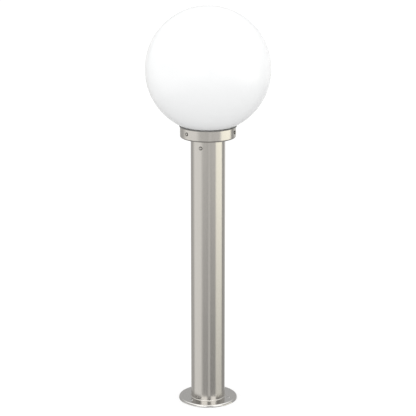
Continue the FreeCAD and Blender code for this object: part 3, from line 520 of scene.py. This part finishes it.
def outward(bearing, reach, height):
    """Puts a shape's Z along a level line out of the post's axis; bearing runs from the front
    towards the right."""
    direction = Vector((math.sin(bearing), -math.cos(bearing), 0.0))
    side = Vector((0.0, 0.0, 1.0)).cross(direction)
    turn = Matrix((side, Vector((0.0, 0.0, 1.0)), direction)).transposed().to_4x4()
    turn.translation = direction * reach + Vector((0.0, 0.0, height))
    return turn


def upright(height=0.0):
    """Leaves a shape standing on the post's axis, raised to a height."""
    return Matrix.Translation((0.0, 0.0, height))


BODY_OF = {
    node: body
    for body, nodes in frame["record"]["behaviour"]["bodies"].items()
    for node in nodes
}


def make_piece(name, node, shapes, crease=32):
    """Joins shapes into a piece that stands for a CAD node and moves with its body. Shapes are
    pairs of a bmesh, which is used up, and a place."""
    whole = bmesh.new()
    for shape, place in shapes:
        shape.transform(place)
        part = bpy.data.meshes.new("part")
        shape.to_mesh(part)
        shape.free()
        whole.from_mesh(part)
        bpy.data.meshes.remove(part)
    bmesh.ops.recalc_face_normals(whole, faces=whole.faces)
    mesh = bpy.data.meshes.new(name)
    whole.to_mesh(mesh)
    whole.free()
    mesh.shade_smooth()
    mesh.set_sharp_from_angle(angle=math.radians(crease))
    mesh.materials.append(finish_of(NODE_SLOT[node]))
    # A piece with shaded bands gets the dark painted-shade finish as its second material.
    if any(face.material_index for face in mesh.polygons):
        mesh.materials.append(material("seam_shade", seam_shade))
    piece = bpy.data.objects.new(name, mesh)
    bpy.context.scene.collection.objects.link(piece)
    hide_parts(node)
    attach(piece, BODY_OF[node])
    return piece


def low_of(node):
    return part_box(node)[0][2]


def high_of(node):
    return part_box(node)[1][2]


def radius_of(node):
    low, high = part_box(node)
    return (high[0] - low[0]) / 2


def middle_of(node):
    return (low_of(node) + high_of(node)) / 2


# ---------------------------------------------------------------- fixings


def fixings():
    return bpy.context.scene.bollard_fixings


BEVEL = 0.3 * MM  # broken edges of turned, headed and moulded pieces
RUN_OUT = 0.2 * MM  # plain shank between a screw's thread and its head
SOCKET_FLARE = 0.25 * MM  # how much wider a hex socket is at its mouth
FLARE_DEPTH = 0.12 * MM


def dome_screw(shank_length):
    """A button-head screw with a hex socket; its head sits on z 0 and its shank runs down."""
    size = fixings()
    shank = size.screw_thread / 2
    head = size.head_width / 2
    edge = size.head_edge
    rise = size.head_height - edge
    ball = (head * head + rise * rise) / (2 * rise)
    centre = size.head_height - ball

    def dome(reach):
        return centre + math.sqrt(ball * ball - reach * reach)

    root = shank - size.thread_depth
    rings = [(-shank_length, root - BEVEL)]
    rings += thread(
        BEVEL - shank_length, -RUN_OUT, shank, size.thread_depth, size.thread_pitch, plain=0.0
    )
    rings += [(0.0, shank), (0.0, head - edge * 0.6), (edge * 0.5, head), (edge, head)]
    # bands with painted shade: from the shank's top, over the underside and the edge, to the dome's
    # first two bands
    seam = range(len(rings) - 4, len(rings) + 2)
    rings += [(dome(head * part), head * part) for part in (0.97, 0.9, 0.8, 0.68, 0.55, 0.44)]
    mouth = dome(head * 0.40)
    floor = size.head_height - size.socket_depth
    socket = hexagon(size.socket_width)
    rings += [(mouth, hexagon(size.socket_width + SOCKET_FLARE)), (mouth - FLARE_DEPTH, socket)]
    rings += [(floor, socket), (floor - BEVEL, BEVEL)]
    return loft(rings, shaded_bands=seam)


def hex_nut(across, thickness, thread_width):
    """A chamfered hex nut standing on z 0, its bore plain and countersunk at both ends."""
    mouth = thread_width / 2
    bore = mouth - BEVEL
    bevel = 0.12 * thickness
    cut = hexagon(across, across / 2 * 1.03)
    full = hexagon(across)
    rings = [(0.0, mouth), (0.0, cut), (bevel, full), (thickness - bevel, full)]
    rings += [(thickness, cut), (thickness, mouth), (thickness - BEVEL, bore), (BEVEL, bore)]
    return loft(rings, closed=True)


def set_screw_bearings():
    """Where each set screw sits round the cup, by the body it moves with."""
    return {
        joint["child"]: math.atan2(joint["axis"][0], -joint["axis"][1])
        for joint in frame["record"]["behaviour"]["joints"]
        if joint["child"].startswith("set_screw")
    }


def set_screws():
    """Three screws round the cup, each moving with its own body."""
    bearings = set_screw_bearings()
    for number in (1, 2, 3):
        node = f"globe_screw_{number}"
        place = outward(bearings[BODY_OF[node]], radius_of("gallery_cup"), middle_of(node))
        screw = dome_screw(fixings().set_screw_length)
        make_piece(f"set_screw_fine_{number}", node, [(screw, place)])


def post_screws():
    """Two screws through the tube into the sleeve, opposite each other."""
    size = fixings()
    shapes = []
    for turn in (0.0, TURN / 2):
        bearing = size.post_screw_bearing + turn
        place = outward(bearing, radius_of("post_tube"), middle_of("post_screws"))
        shapes.append((dome_screw(size.post_screw_length), place))
    make_piece("post_screws_fine", "post_screws", shapes)


def screw_nuts():
    """The set screws' nuts inside the cup's wall."""
    size = fixings()
    outer = radius_of("gallery_cup") - size.cup_sheet
    corner = size.nut_width / math.sqrt(3)
    reach = math.sqrt(outer * outer - corner * corner) - size.nut_thickness
    shapes = []
    for bearing in set_screw_bearings().values():
        nut = hex_nut(size.nut_width, size.nut_thickness, size.screw_thread)
        shapes.append((nut, outward(bearing, reach, middle_of("globe_screw_nuts"))))
    make_piece("screw_nuts_fine", "globe_screw_nuts", shapes)


def nipple_and_nuts():
    """The threaded tube up the middle of the cup's floor and its two nuts."""
    size = fixings()
    low = low_of("nipple")
    high = high_of("nipple")
    outer = radius_of("nipple")
    bore = size.nipple_bore / 2
    rings = [(low, bore)]
    rings += thread(low, high, outer, size.nipple_thread_depth, size.nipple_pitch, plain=0.0)
    rings += [(high, bore)]
    make_piece("nipple_fine", "nipple", [(loft(rings, closed=True), upright())])
    shapes = []
    thickness = size.nipple_nut_thickness
    for height in (low_of("nipple_nuts"), high_of("nipple_nuts") - thickness):
        nut = hex_nut(size.nipple_nut_width, thickness, 2 * outer)
        shapes.append((nut, upright(height)))
    make_piece("nipple_nuts_fine", "nipple_nuts", shapes)


def weld_bead():
    """The fillet weld round the tube's foot, with the ripples that welding leaves."""
    size = fixings()
    low = low_of("foot_weld")
    high = high_of("foot_weld")
    tube = radius_of("post_tube")
    toe = radius_of("foot_weld")

    def rippled(radius, part):
        def reach(angle):
            wave = 1 - abs(math.sin(angle * size.weld_ripples / 2 - 2.2 * part))
            wander = 0.5 * math.sin(5 * angle) + 0.3 * math.sin(11 * angle + 1.0)
            return radius - size.ripple_depth * (wave + 0.4 * wander + 0.3)

        return reach

    rings = [(low, tube), (low, toe)]
    for part in (0.15, 0.35, 0.55, 0.75, 0.9):
        turn = (1 - part) * TURN / 4
        radius = tube + (toe - tube) * (1 - math.cos(turn))
        rings.append((low + (high - low) * (1 - math.sin(turn)), rippled(radius, part)))
    rings.append((high, tube))
    make_piece("foot_weld_fine", "foot_weld", [(loft(rings, 720, closed=True), upright())], 60)


# ---------------------------------------------------------------- lamp and holder


def lamp_sizes():
    return bpy.context.scene.bollard_lamp


def lamp_cap():
    """The rolled cap of the lamp: one sheet, threaded below and plain above."""
    size = lamp_sizes()
    outer = radius_of("lamp_cap")
    band = high_of("lamp_cap") - size.cap_band
    rings = thread(low_of("lamp_cap"), band, outer, size.cap_depth, size.cap_pitch, steps=12)
    rings.append((high_of("lamp_cap"), lambda angle: outer))
    inside = thicker(reversed(rings), -size.cap_sheet)
    shape = loft(rings + inside, 72, closed=True)
    make_piece("lamp_cap_fine", "lamp_cap", [(shape, upright())], 60)


def screw_shell():
    """The holder's threaded shell, rolled outwards so that the cap passes freely."""
    size = lamp_sizes()
    low = low_of("screw_shell")
    sheet = size.cap_sheet
    bore = size.shell_bore / 2
    rings = thread(
        low + 3 * sheet,
        high_of("screw_shell"),
        bore + size.shell_depth,
        size.shell_depth,
        size.cap_pitch,
        plain=0.0,
        steps=12,
    )
    flange = radius_of("screw_shell")
    foot = [(low, bore), (low, flange), (low + sheet, flange), (low + sheet, bore + sheet)]
    inside = list(reversed(rings))
    shape = loft(foot + thicker(rings, sheet) + inside, 72, closed=True)
    make_piece("screw_shell_fine", "screw_shell", [(shape, upright())], 60)


def lamp_housing():
    """The lamp's tapered body with shallow fins, and the spigot that the cap is rolled on."""
    size = lamp_sizes()
    low = low_of("lamp_housing")
    seam = high_of("lamp_cap")
    rim = high_of("lamp_housing")
    wide = radius_of("lamp_housing")
    narrow = radius_of("lamp_cap") + size.shoulder
    spigot = radius_of("lamp_cap") - size.cap_sheet - size.cap_depth - BEVEL
    wall = size.housing_wall
    foot = size.shoulder_edge
    edge = size.rim_edge
    rings = [(low, spigot - wall), (low, spigot), (seam, spigot), (seam, narrow - foot)]
    rings.append((seam + foot, narrow))
    for part in (0.06, 0.09, 0.15, 0.3, 0.5, 0.7, 0.84, 0.9, 0.93):
        depth = size.fin_depth if 0.1 < part < 0.9 else 0.0
        cone = narrow + (wide - narrow) * part
        rings.append((seam + (rim - seam) * part, ribbed(cone, depth, size.fins)))
    rings += [(rim - edge, wide), (rim, wide - edge), (rim, wide - size.ledge)]
    rings.append((seam + wall, spigot - wall))
    shape = loft(rings, 12 * size.fins, closed=True)
    make_piece("lamp_housing_fine", "lamp_housing", [(shape, upright())])


def holder_skirt():
    """The holder's upper shell, with grip ribs and a rounded mouth."""
    size = lamp_sizes()
    low = low_of("holder_skirt")
    high = high_of("holder_skirt")
    outer = radius_of("holder_skirt")
    inner = outer - size.holder_wall
    mouth = size.mouth_width / 2
    lip = high - size.lip_height
    foot = low + size.rib_margin
    top = high - size.rib_margin
    grip = ribbed(outer, size.rib_depth, size.ribs)
    bend = size.mouth_bend
    corner = size.mouth_corner
    rings = [(low, inner), (low, outer - BEVEL), (low + BEVEL, outer), (foot, outer)]
    rings += [(foot + size.rib_fade, grip), (top - size.rib_fade, grip), (top, outer)]
    rings += [(high - bend, outer), (high - corner, outer - corner)]
    rings += [(high, outer - bend), (high, mouth), (lip, mouth), (lip, inner)]
    shape = loft(rings, 8 * size.ribs, closed=True)
    make_piece("holder_skirt_fine", "holder_skirt", [(shape, upright())])


# ---------------------------------------------------------------- studio


def studio():
    return bpy.context.scene.bollard_studio


# Panels that the steel mirrors below eye level, by bearing in degrees from the front towards
# the right: name, bearing, half width, soft edge, light added at the post's head and foot.
PANELS = (
    ("left wall", -75, 20, 26, 0.30, 0.62),
    ("left gap", -138, 10, 22, -0.22, 0.22),
    ("front gap", 32, 12, 20, 0.09, -0.14),
    ("front slit", 8, 4, 4, 0.02, 0.46),
    ("right window", 80, 22, 9, 0.95, 0.26),
    ("right gap", 119, 7, 8, -0.28, 0.04),
    ("back wall", 173, 16, 16, 0.08, 0.33),
)
# Lamps over the camera, mirrored by what faces up and forwards: name, bearing, half width,
# soft edge.
HIGH_PANELS = (
    ("left lamp", -26, 17, 8),
    ("right lamp", 38, 14, 7),
)


# Heights of a unit direction between which one zone of the room gives way to another.
WALLS_TO_CEILING = (-0.08, 0.10)
HEAD_TO_FOOT = (-0.20, -0.38)
FOOT_TO_GROUND = (-0.42, -0.60)
LOW_TO_HIGH_CEILING = (0.45, 0.95)
CEILING_TO_LAMPS = (0.72, 0.52)
# Bearings between which the lamps' part of the ceiling ends, and the half widths and the
# bearing of the warm light round the right window.
LAMPS_END = (104, 80)
WARM_BEARING = 80
WARM_EDGE = (34, 20)


def mirrored_room(paint, direction):
    """What glossy surfaces see: a room of soft panels below eye level, a bright ceiling above."""
    look = studio()
    x, y, z = paint.axes(direction)
    bearing = x.math("ARCTAN2", y * -1.0) * (360 / TURN)
    foot = z.between(*HEAD_TO_FOOT)
    room = look.room_head + foot * (look.room_foot - look.room_head)
    for _, centre, half, edge, head_light, foot_light in PANELS:
        away = abs((bearing - centre).math("WRAP", 180.0, -180.0))
        panel = away.between(half + edge, half)
        room = room + panel * (head_light + foot * (foot_light - head_light))
    ground = z.between(*FOOT_TO_GROUND)
    room = room + ground * (look.room_ground - room)
    warm = abs(bearing - WARM_BEARING).between(*WARM_EDGE) * (1 - foot)
    tint = paint.mix(warm, (1.0, 0.995, 0.985), (1.0, 0.985, 0.87))
    low_tone = paint.lit(room, paint.stretch(tint, (2, 2, 2)))
    ceiling = look.ceiling + look.ceiling_rise * z.between(*LOW_TO_HIGH_CEILING)
    front = abs(bearing).between(*LAMPS_END) * z.between(*CEILING_TO_LAMPS)
    lamps = look.between_lamps
    for _, centre, half, edge in HIGH_PANELS:
        lamps = lamps + look.high_lamps * abs(bearing - centre).between(half + edge, half)
    ceiling = ceiling + front * (lamps - ceiling)
    high_tone = paint.lit(ceiling)
    return paint.mix(z.between(*WALLS_TO_CEILING), low_tone, high_tone)


def build_world():
    """A soft white dome for diffuse light; glossy surfaces see the panelled room instead."""
    look = studio()
    world = bpy.data.worlds.new("studio")
    bpy.context.scene.world = world
    world.cycles.sampling_method = "NONE"
    paint = Paint(world)
    direction = paint.add("TexCoord")
    _, _, z = paint.axes(direction)
    dome = look.dome * (0.88 + 0.12 * z.between(0.0, 1.0))
    dome_colour = paint.lit(dome)
    rays = paint.add("LightPath").socket.node
    glossy = Value(paint.tree, rays.outputs["Is Glossy Ray"])
    camera = Value(paint.tree, rays.outputs["Is Camera Ray"])
    seen = paint.mix(glossy, dome_colour, mirrored_room(paint, direction))
    seen = paint.mix(camera, seen, (1.0, 1.0, 1.0))
    light = paint.add("Background", Color=seen, Strength=1.0)
    paint.add("OutputWorld", Surface=light)


def build_floor():
    """A pale floor lit from below, as a light table is; glossy surfaces don't mirror it."""
    look = studio()
    mesh = bpy.data.meshes.new("floor")
    shape = bmesh.new()
    bmesh.ops.create_circle(shape, cap_ends=True, segments=96, radius=look.floor_radius)
    shape.to_mesh(mesh)
    shape.free()
    floor = bpy.data.objects.new("floor", mesh)
    bpy.context.scene.collection.objects.link(floor)

    def paper(paint):
        grain = paint.noise(paint.place(), 400.0)
        tone = look.floor_tone
        paint.finish(
            Base_Color=paint.mix(grain * 0.3, (tone, tone, tone), [tone * 0.98] * 3),
            Roughness=0.9,
            Specular_IOR_Level=0.0,
            Emission_Color=(1.0, 1.0, 1.0),
            Emission_Strength=look.floor_glow,
        )

    mesh.materials.append(material("lit paper", paper))
    mesh.materials[0].cycles.emission_sampling = "NONE"
    floor.visible_glossy = False


def build_camera():
    look = studio()
    data = bpy.data.cameras.new("camera")
    data.lens = look.lens
    data.sensor_width = 36.0
    camera = bpy.data.objects.new("camera", data)
    camera.location = (0.0, -look.distance, look.height)
    camera.rotation_euler = (math.pi / 2 - look.pitch, 0.0, 0.0)
    bpy.context.scene.collection.objects.link(camera)
    bpy.context.scene.camera = camera
    bpy.context.scene.view_settings.view_transform = "Standard"


# ---------------------------------------------------------------- operators


class BOLLARD_OT_stage(bpy.types.Operator):
    """Sets up the floor, the light and the camera"""

    bl_idname = "bollard.stage"
    bl_label = "Stage"

    def execute(self, context):
        build_world()
        build_floor()
        build_camera()
        return {"FINISHED"}


class BOLLARD_OT_shade(bpy.types.Operator):
    """Opal globe with its neck"""

    bl_idname = "bollard.shade"
    bl_label = "Shade"

    def execute(self, context):
        dress("globe", "globe_neck")
        return {"FINISHED"}


class BOLLARD_OT_post(bpy.types.Operator):
    """Satin tube, the sleeve in its head and the two screws that hold it"""

    bl_idname = "bollard.post"
    bl_label = "Post"

    def execute(self, context):
        dress("post_tube", "head_sleeve")
        post_screws()
        return {"FINISHED"}


class BOLLARD_OT_base(bpy.types.Operator):
    """Base plate with its weld and its cable grommet"""

    bl_idname = "bollard.base"
    bl_label = "Base"

    def execute(self, context):
        dress("base_plate", "cable_grommet")
        weld_bead()
        return {"FINISHED"}


class BOLLARD_OT_cup(bpy.types.Operator):
    """Gallery cup with its seal, its nuts and the screws in its floor"""

    bl_idname = "bollard.cup"
    bl_label = "Cup"

    def execute(self, context):
        dress("gallery_cup", "globe_seal", "cup_screws")
        screw_nuts()
        return {"FINISHED"}


class BOLLARD_OT_set_screws(bpy.types.Operator):
    """Three screws that hold the globe's neck"""

    bl_idname = "bollard.set_screws"
    bl_label = "Set screws"

    def execute(self, context):
        set_screws()
        return {"FINISHED"}


class BOLLARD_OT_nipple(bpy.types.Operator):
    """Threaded nipple with its nuts, washer and bracket"""

    bl_idname = "bollard.nipple"
    bl_label = "Nipple"

    def execute(self, context):
        nipple_and_nuts()
        dress("nipple_washer", "terminal_bracket")
        return {"FINISHED"}


class BOLLARD_OT_terminals(bpy.types.Operator):
    """Terminal block with its clamps and screws, the earth lug and the three leads"""

    bl_idname = "bollard.terminals"
    bl_label = "Terminals"

    def execute(self, context):
        dress("terminal_block", "terminal_clamps", "terminal_screws", "block_screws")
        dress("earth_lug", "earth_screw", "lead_live", "lead_neutral", "lead_earth")
        return {"FINISHED"}


class BOLLARD_OT_holder(bpy.types.Operator):
    """Lamp holder: two shells, insert, threaded shell and contact"""

    bl_idname = "bollard.holder"
    bl_label = "Lamp holder"

    def execute(self, context):
        dress("holder_base", "holder_insert", "centre_contact")
        holder_skirt()
        screw_shell()
        return {"FINISHED"}


class BOLLARD_OT_lamp(bpy.types.Operator):
    """Lamp: cap, housing, opal dome and what is inside"""

    bl_idname = "bollard.lamp"
    bl_label = "Lamp"

    def execute(self, context):
        lamp_cap()
        lamp_housing()
        dress("lamp_cap_insulator", "lamp_tip", "lamp_diffuser")
        dress("led_board", "led_chips", "lamp_driver")
        return {"FINISHED"}


# ---------------------------------------------------------------- sizes and colours


def length_setting(name, description, millimetres):
    return bpy.props.FloatProperty(
        name=name, description=description, default=millimetres * MM, precision=5, unit="LENGTH"
    )


def share_setting(name, description, default):
    return bpy.props.FloatProperty(
        name=name, description=description, default=default, min=0.0, max=1.0, subtype="FACTOR"
    )


def colour_setting(name, description, default):
    return bpy.props.FloatVectorProperty(
        name=name, description=description, default=default, min=0.0, max=1.0, subtype="COLOR"
    )


def level_setting(name, description, default):
    return bpy.props.FloatProperty(name=name, description=description, default=default, min=0.0)


class BollardFinishes(bpy.types.PropertyGroup):
    steel: colour_setting("Steel", "Colour of the satin steel", (0.66, 0.635, 0.595))
    base_steel: colour_setting("Base steel", "Colour of the buffed base plate", (0.68, 0.665, 0.64))
    satin_roughness: share_setting("Satin", "Roughness of the satin steel", 0.22)
    buffed_roughness: share_setting("Buffed", "Roughness of the buffed base plate", 0.13)
    brushing: share_setting("Brushing", "How far the satin smears a reflection along the post", 0.6)
    opal: colour_setting("Opal", "Colour of the opal shade", (0.735, 0.74, 0.742))
    rubber: colour_setting("Rubber", "Colour of the seal and the grommet", (0.14, 0.138, 0.13))


class BollardFixings(bpy.types.PropertyGroup):
    screw_thread: length_setting("Screw thread", "Outer width of the screws' thread", 4.0)
    thread_pitch: length_setting("Thread pitch", "From one turn of the screws' thread to the next", 0.7)
    thread_depth: length_setting("Thread depth", "From the crest to the root of the screws' thread", 0.4)
    head_width: length_setting("Head width", "Width of the domed screw heads", 7.4)
    head_height: length_setting("Head height", "Height of the domed screw heads", 2.3)
    head_edge: length_setting("Head edge", "Straight edge below the screw heads' dome", 0.5)
    socket_width: length_setting("Socket width", "Across the flats of the screws' hex socket", 2.5)
    socket_depth: length_setting("Socket depth", "From the dome's top to the socket's floor", 1.38)
    set_screw_length: length_setting("Set screw length", "Shank of the screws that hold the globe", 5.6)
    post_screw_length: length_setting("Post screw length", "Shank of the screws through the tube", 8.0)
    post_screw_bearing: bpy.props.FloatProperty(
        name="Post screw bearing",
        description="Where the first post screw sits, from the front towards the right",
        default=math.radians(-25),
        subtype="ANGLE",
    )
    cup_sheet: length_setting("Cup sheet", "Thickness of the cup's wall", 1.0)
    nut_width: length_setting("Nut width", "Across the flats of the set screws' nuts", 7.0)
    nut_thickness: length_setting("Nut thickness", "Thickness of the set screws' nuts", 2.4)
    nipple_bore: length_setting("Nipple bore", "Way for the leads up the nipple", 7.0)
    nipple_pitch: length_setting("Nipple pitch", "From one turn of the nipple's thread to the next", 1.0)
    nipple_thread_depth: length_setting("Nipple thread depth", "Crest to root of the thread", 0.55)
    nipple_nut_width: length_setting("Nipple nut width", "Across the flats of the nipple's nuts", 14.0)
    nipple_nut_thickness: length_setting("Nipple nut thickness", "Thickness of the nuts", 3.0)
    ripple_depth: length_setting("Ripple depth", "Height of the ripples on the weld", 0.12)
    weld_ripples: bpy.props.IntProperty(
        name="Weld ripples", description="Ripples round the post's weld", default=120, min=0
    )


class BollardLamp(bpy.types.PropertyGroup):
    cap_sheet: length_setting("Cap sheet", "Thickness of the rolled cap and shell", 0.4)
    cap_pitch: length_setting("Cap pitch", "From one turn of the cap's thread to the next", 3.63)
    cap_depth: length_setting("Cap thread depth", "From the crest to the root of the cap's thread", 1.1)
    cap_band: length_setting("Cap band", "Plain band above the cap's thread", 3.2)
    shell_bore: length_setting("Shell bore", "Free width inside the holder's shell", 26.9)
    shell_depth: length_setting("Shell thread depth", "How far the shell's thread is rolled out", 0.9)
    shoulder: length_setting("Shoulder", "Step from the cap out to the housing", 1.9)
    housing_wall: length_setting("Housing wall", "Thickness of the lamp's housing", 1.6)
    shoulder_edge: length_setting("Shoulder edge", "Bevel at the foot of the housing", 0.4)
    rim_edge: length_setting("Rim edge", "Bevel at the rim of the housing", 0.5)
    ledge: length_setting("Ledge", "Width of the ledge that the board lies on", 4.0)
    fin_depth: length_setting("Fin depth", "Depth of the grooves up the housing", 0.7)
    fins: bpy.props.IntProperty(
        name="Fins", description="Fins round the housing", default=30, min=3
    )
    holder_wall: length_setting("Holder wall", "Thickness of the holder's shells", 2.2)
    rib_depth: length_setting("Rib depth", "Depth of the holder's grip ribs", 0.5)
    rib_margin: length_setting("Rib margin", "Plain band above and below the grip ribs", 3.0)
    rib_fade: length_setting("Rib fade", "Height over which a grip rib rises", 1.2)
    ribs: bpy.props.IntProperty(
        name="Ribs", description="Grip ribs round the holder", default=36, min=3
    )
    mouth_width: length_setting("Mouth width", "Free width of the holder's mouth", 28.3)
    mouth_bend: length_setting("Mouth bend", "Size of the round edge of the mouth", 0.8)
    mouth_corner: length_setting("Mouth corner", "How far in the round edge's middle lies", 0.25)
    lip_height: length_setting("Lip height", "Height of the lip round the mouth", 2.0)


class BollardStudio(bpy.types.PropertyGroup):
    distance: length_setting("Distance", "From the post's axis to the camera, level", 3132)
    height: length_setting("Height", "Height of the camera", 1245.5)
    pitch: bpy.props.FloatProperty(
        name="Pitch",
        description="How far the camera looks down",
        default=0.2639,
        subtype="ANGLE",
    )
    lens: bpy.props.FloatProperty(
        name="Lens",
        description="Focal length on a 36 mm sensor",
        default=141.9,
        unit="CAMERA",
    )
    floor_radius: length_setting("Floor", "Radius of the floor", 12000)
    floor_tone: share_setting("Floor tone", "Reflectance of the floor", 0.30)
    floor_glow: level_setting("Floor glow", "Light that comes up through the floor", 0.57)
    dome: level_setting("Dome", "Strength of the soft light from above", 1.75)
    room_head: level_setting("Room, head", "Light that the steel mirrors at the post's head", 0.72)
    room_foot: level_setting("Room, foot", "Light that the steel mirrors at the post's foot", 0.29)
    ceiling: level_setting("Ceiling", "Light that the steel mirrors from low overhead", 0.50)
    ceiling_rise: level_setting("Ceiling rise", "Light added straight overhead", 1.2)
    between_lamps: level_setting("Between lamps", "Light beside the lamps over the camera", 0.34)
    high_lamps: level_setting("High lamps", "Light of the two lamps over the camera", 1.25)
    room_ground: level_setting("Room, ground", "Light that the steel mirrors from steeply below", 0.30)


class BOLLARD_PT_sidebar(bpy.types.Panel):
    """Lists the pieces, the finishes and the studio"""

    bl_label = "Bollard light"
    bl_idname = "BOLLARD_PT_sidebar"
    bl_space_type = "VIEW_3D"
    bl_region_type = "UI"
    bl_category = "Bollard"

    def draw(self, context):
        for operator in OPERATORS:
            self.layout.operator(operator.bl_idname)
        for name in GROUPS:
            group = getattr(context.scene, name)
            column = self.layout.column()
            for entry in group.__annotations__:
                column.prop(group, entry)


GROUPS = {
    "bollard_finishes": BollardFinishes,
    "bollard_fixings": BollardFixings,
    "bollard_lamp": BollardLamp,
    "bollard_studio": BollardStudio,
}
OPERATORS = (
    BOLLARD_OT_shade,
    BOLLARD_OT_post,
    BOLLARD_OT_base,
    BOLLARD_OT_cup,
    BOLLARD_OT_set_screws,
    BOLLARD_OT_nipple,
    BOLLARD_OT_terminals,
    BOLLARD_OT_holder,
    BOLLARD_OT_lamp,
    BOLLARD_OT_stage,
)


def register():
    for item in (*GROUPS.values(), *OPERATORS, BOLLARD_PT_sidebar):
        bpy.utils.register_class(item)
    for name, group in GROUPS.items():
        setattr(bpy.types.Scene, name, bpy.props.PointerProperty(type=group))


def unregister():
    for name in GROUPS:
        delattr(bpy.types.Scene, name)
    for item in (BOLLARD_PT_sidebar, *reversed(OPERATORS), *GROUPS.values()):
        bpy.utils.unregister_class(item)


def main():
    register()
    for operator in OPERATORS:
        group, name = operator.bl_idname.split(".")
        getattr(getattr(bpy.ops, group), name)()


if __name__ == "__main__":
    main()
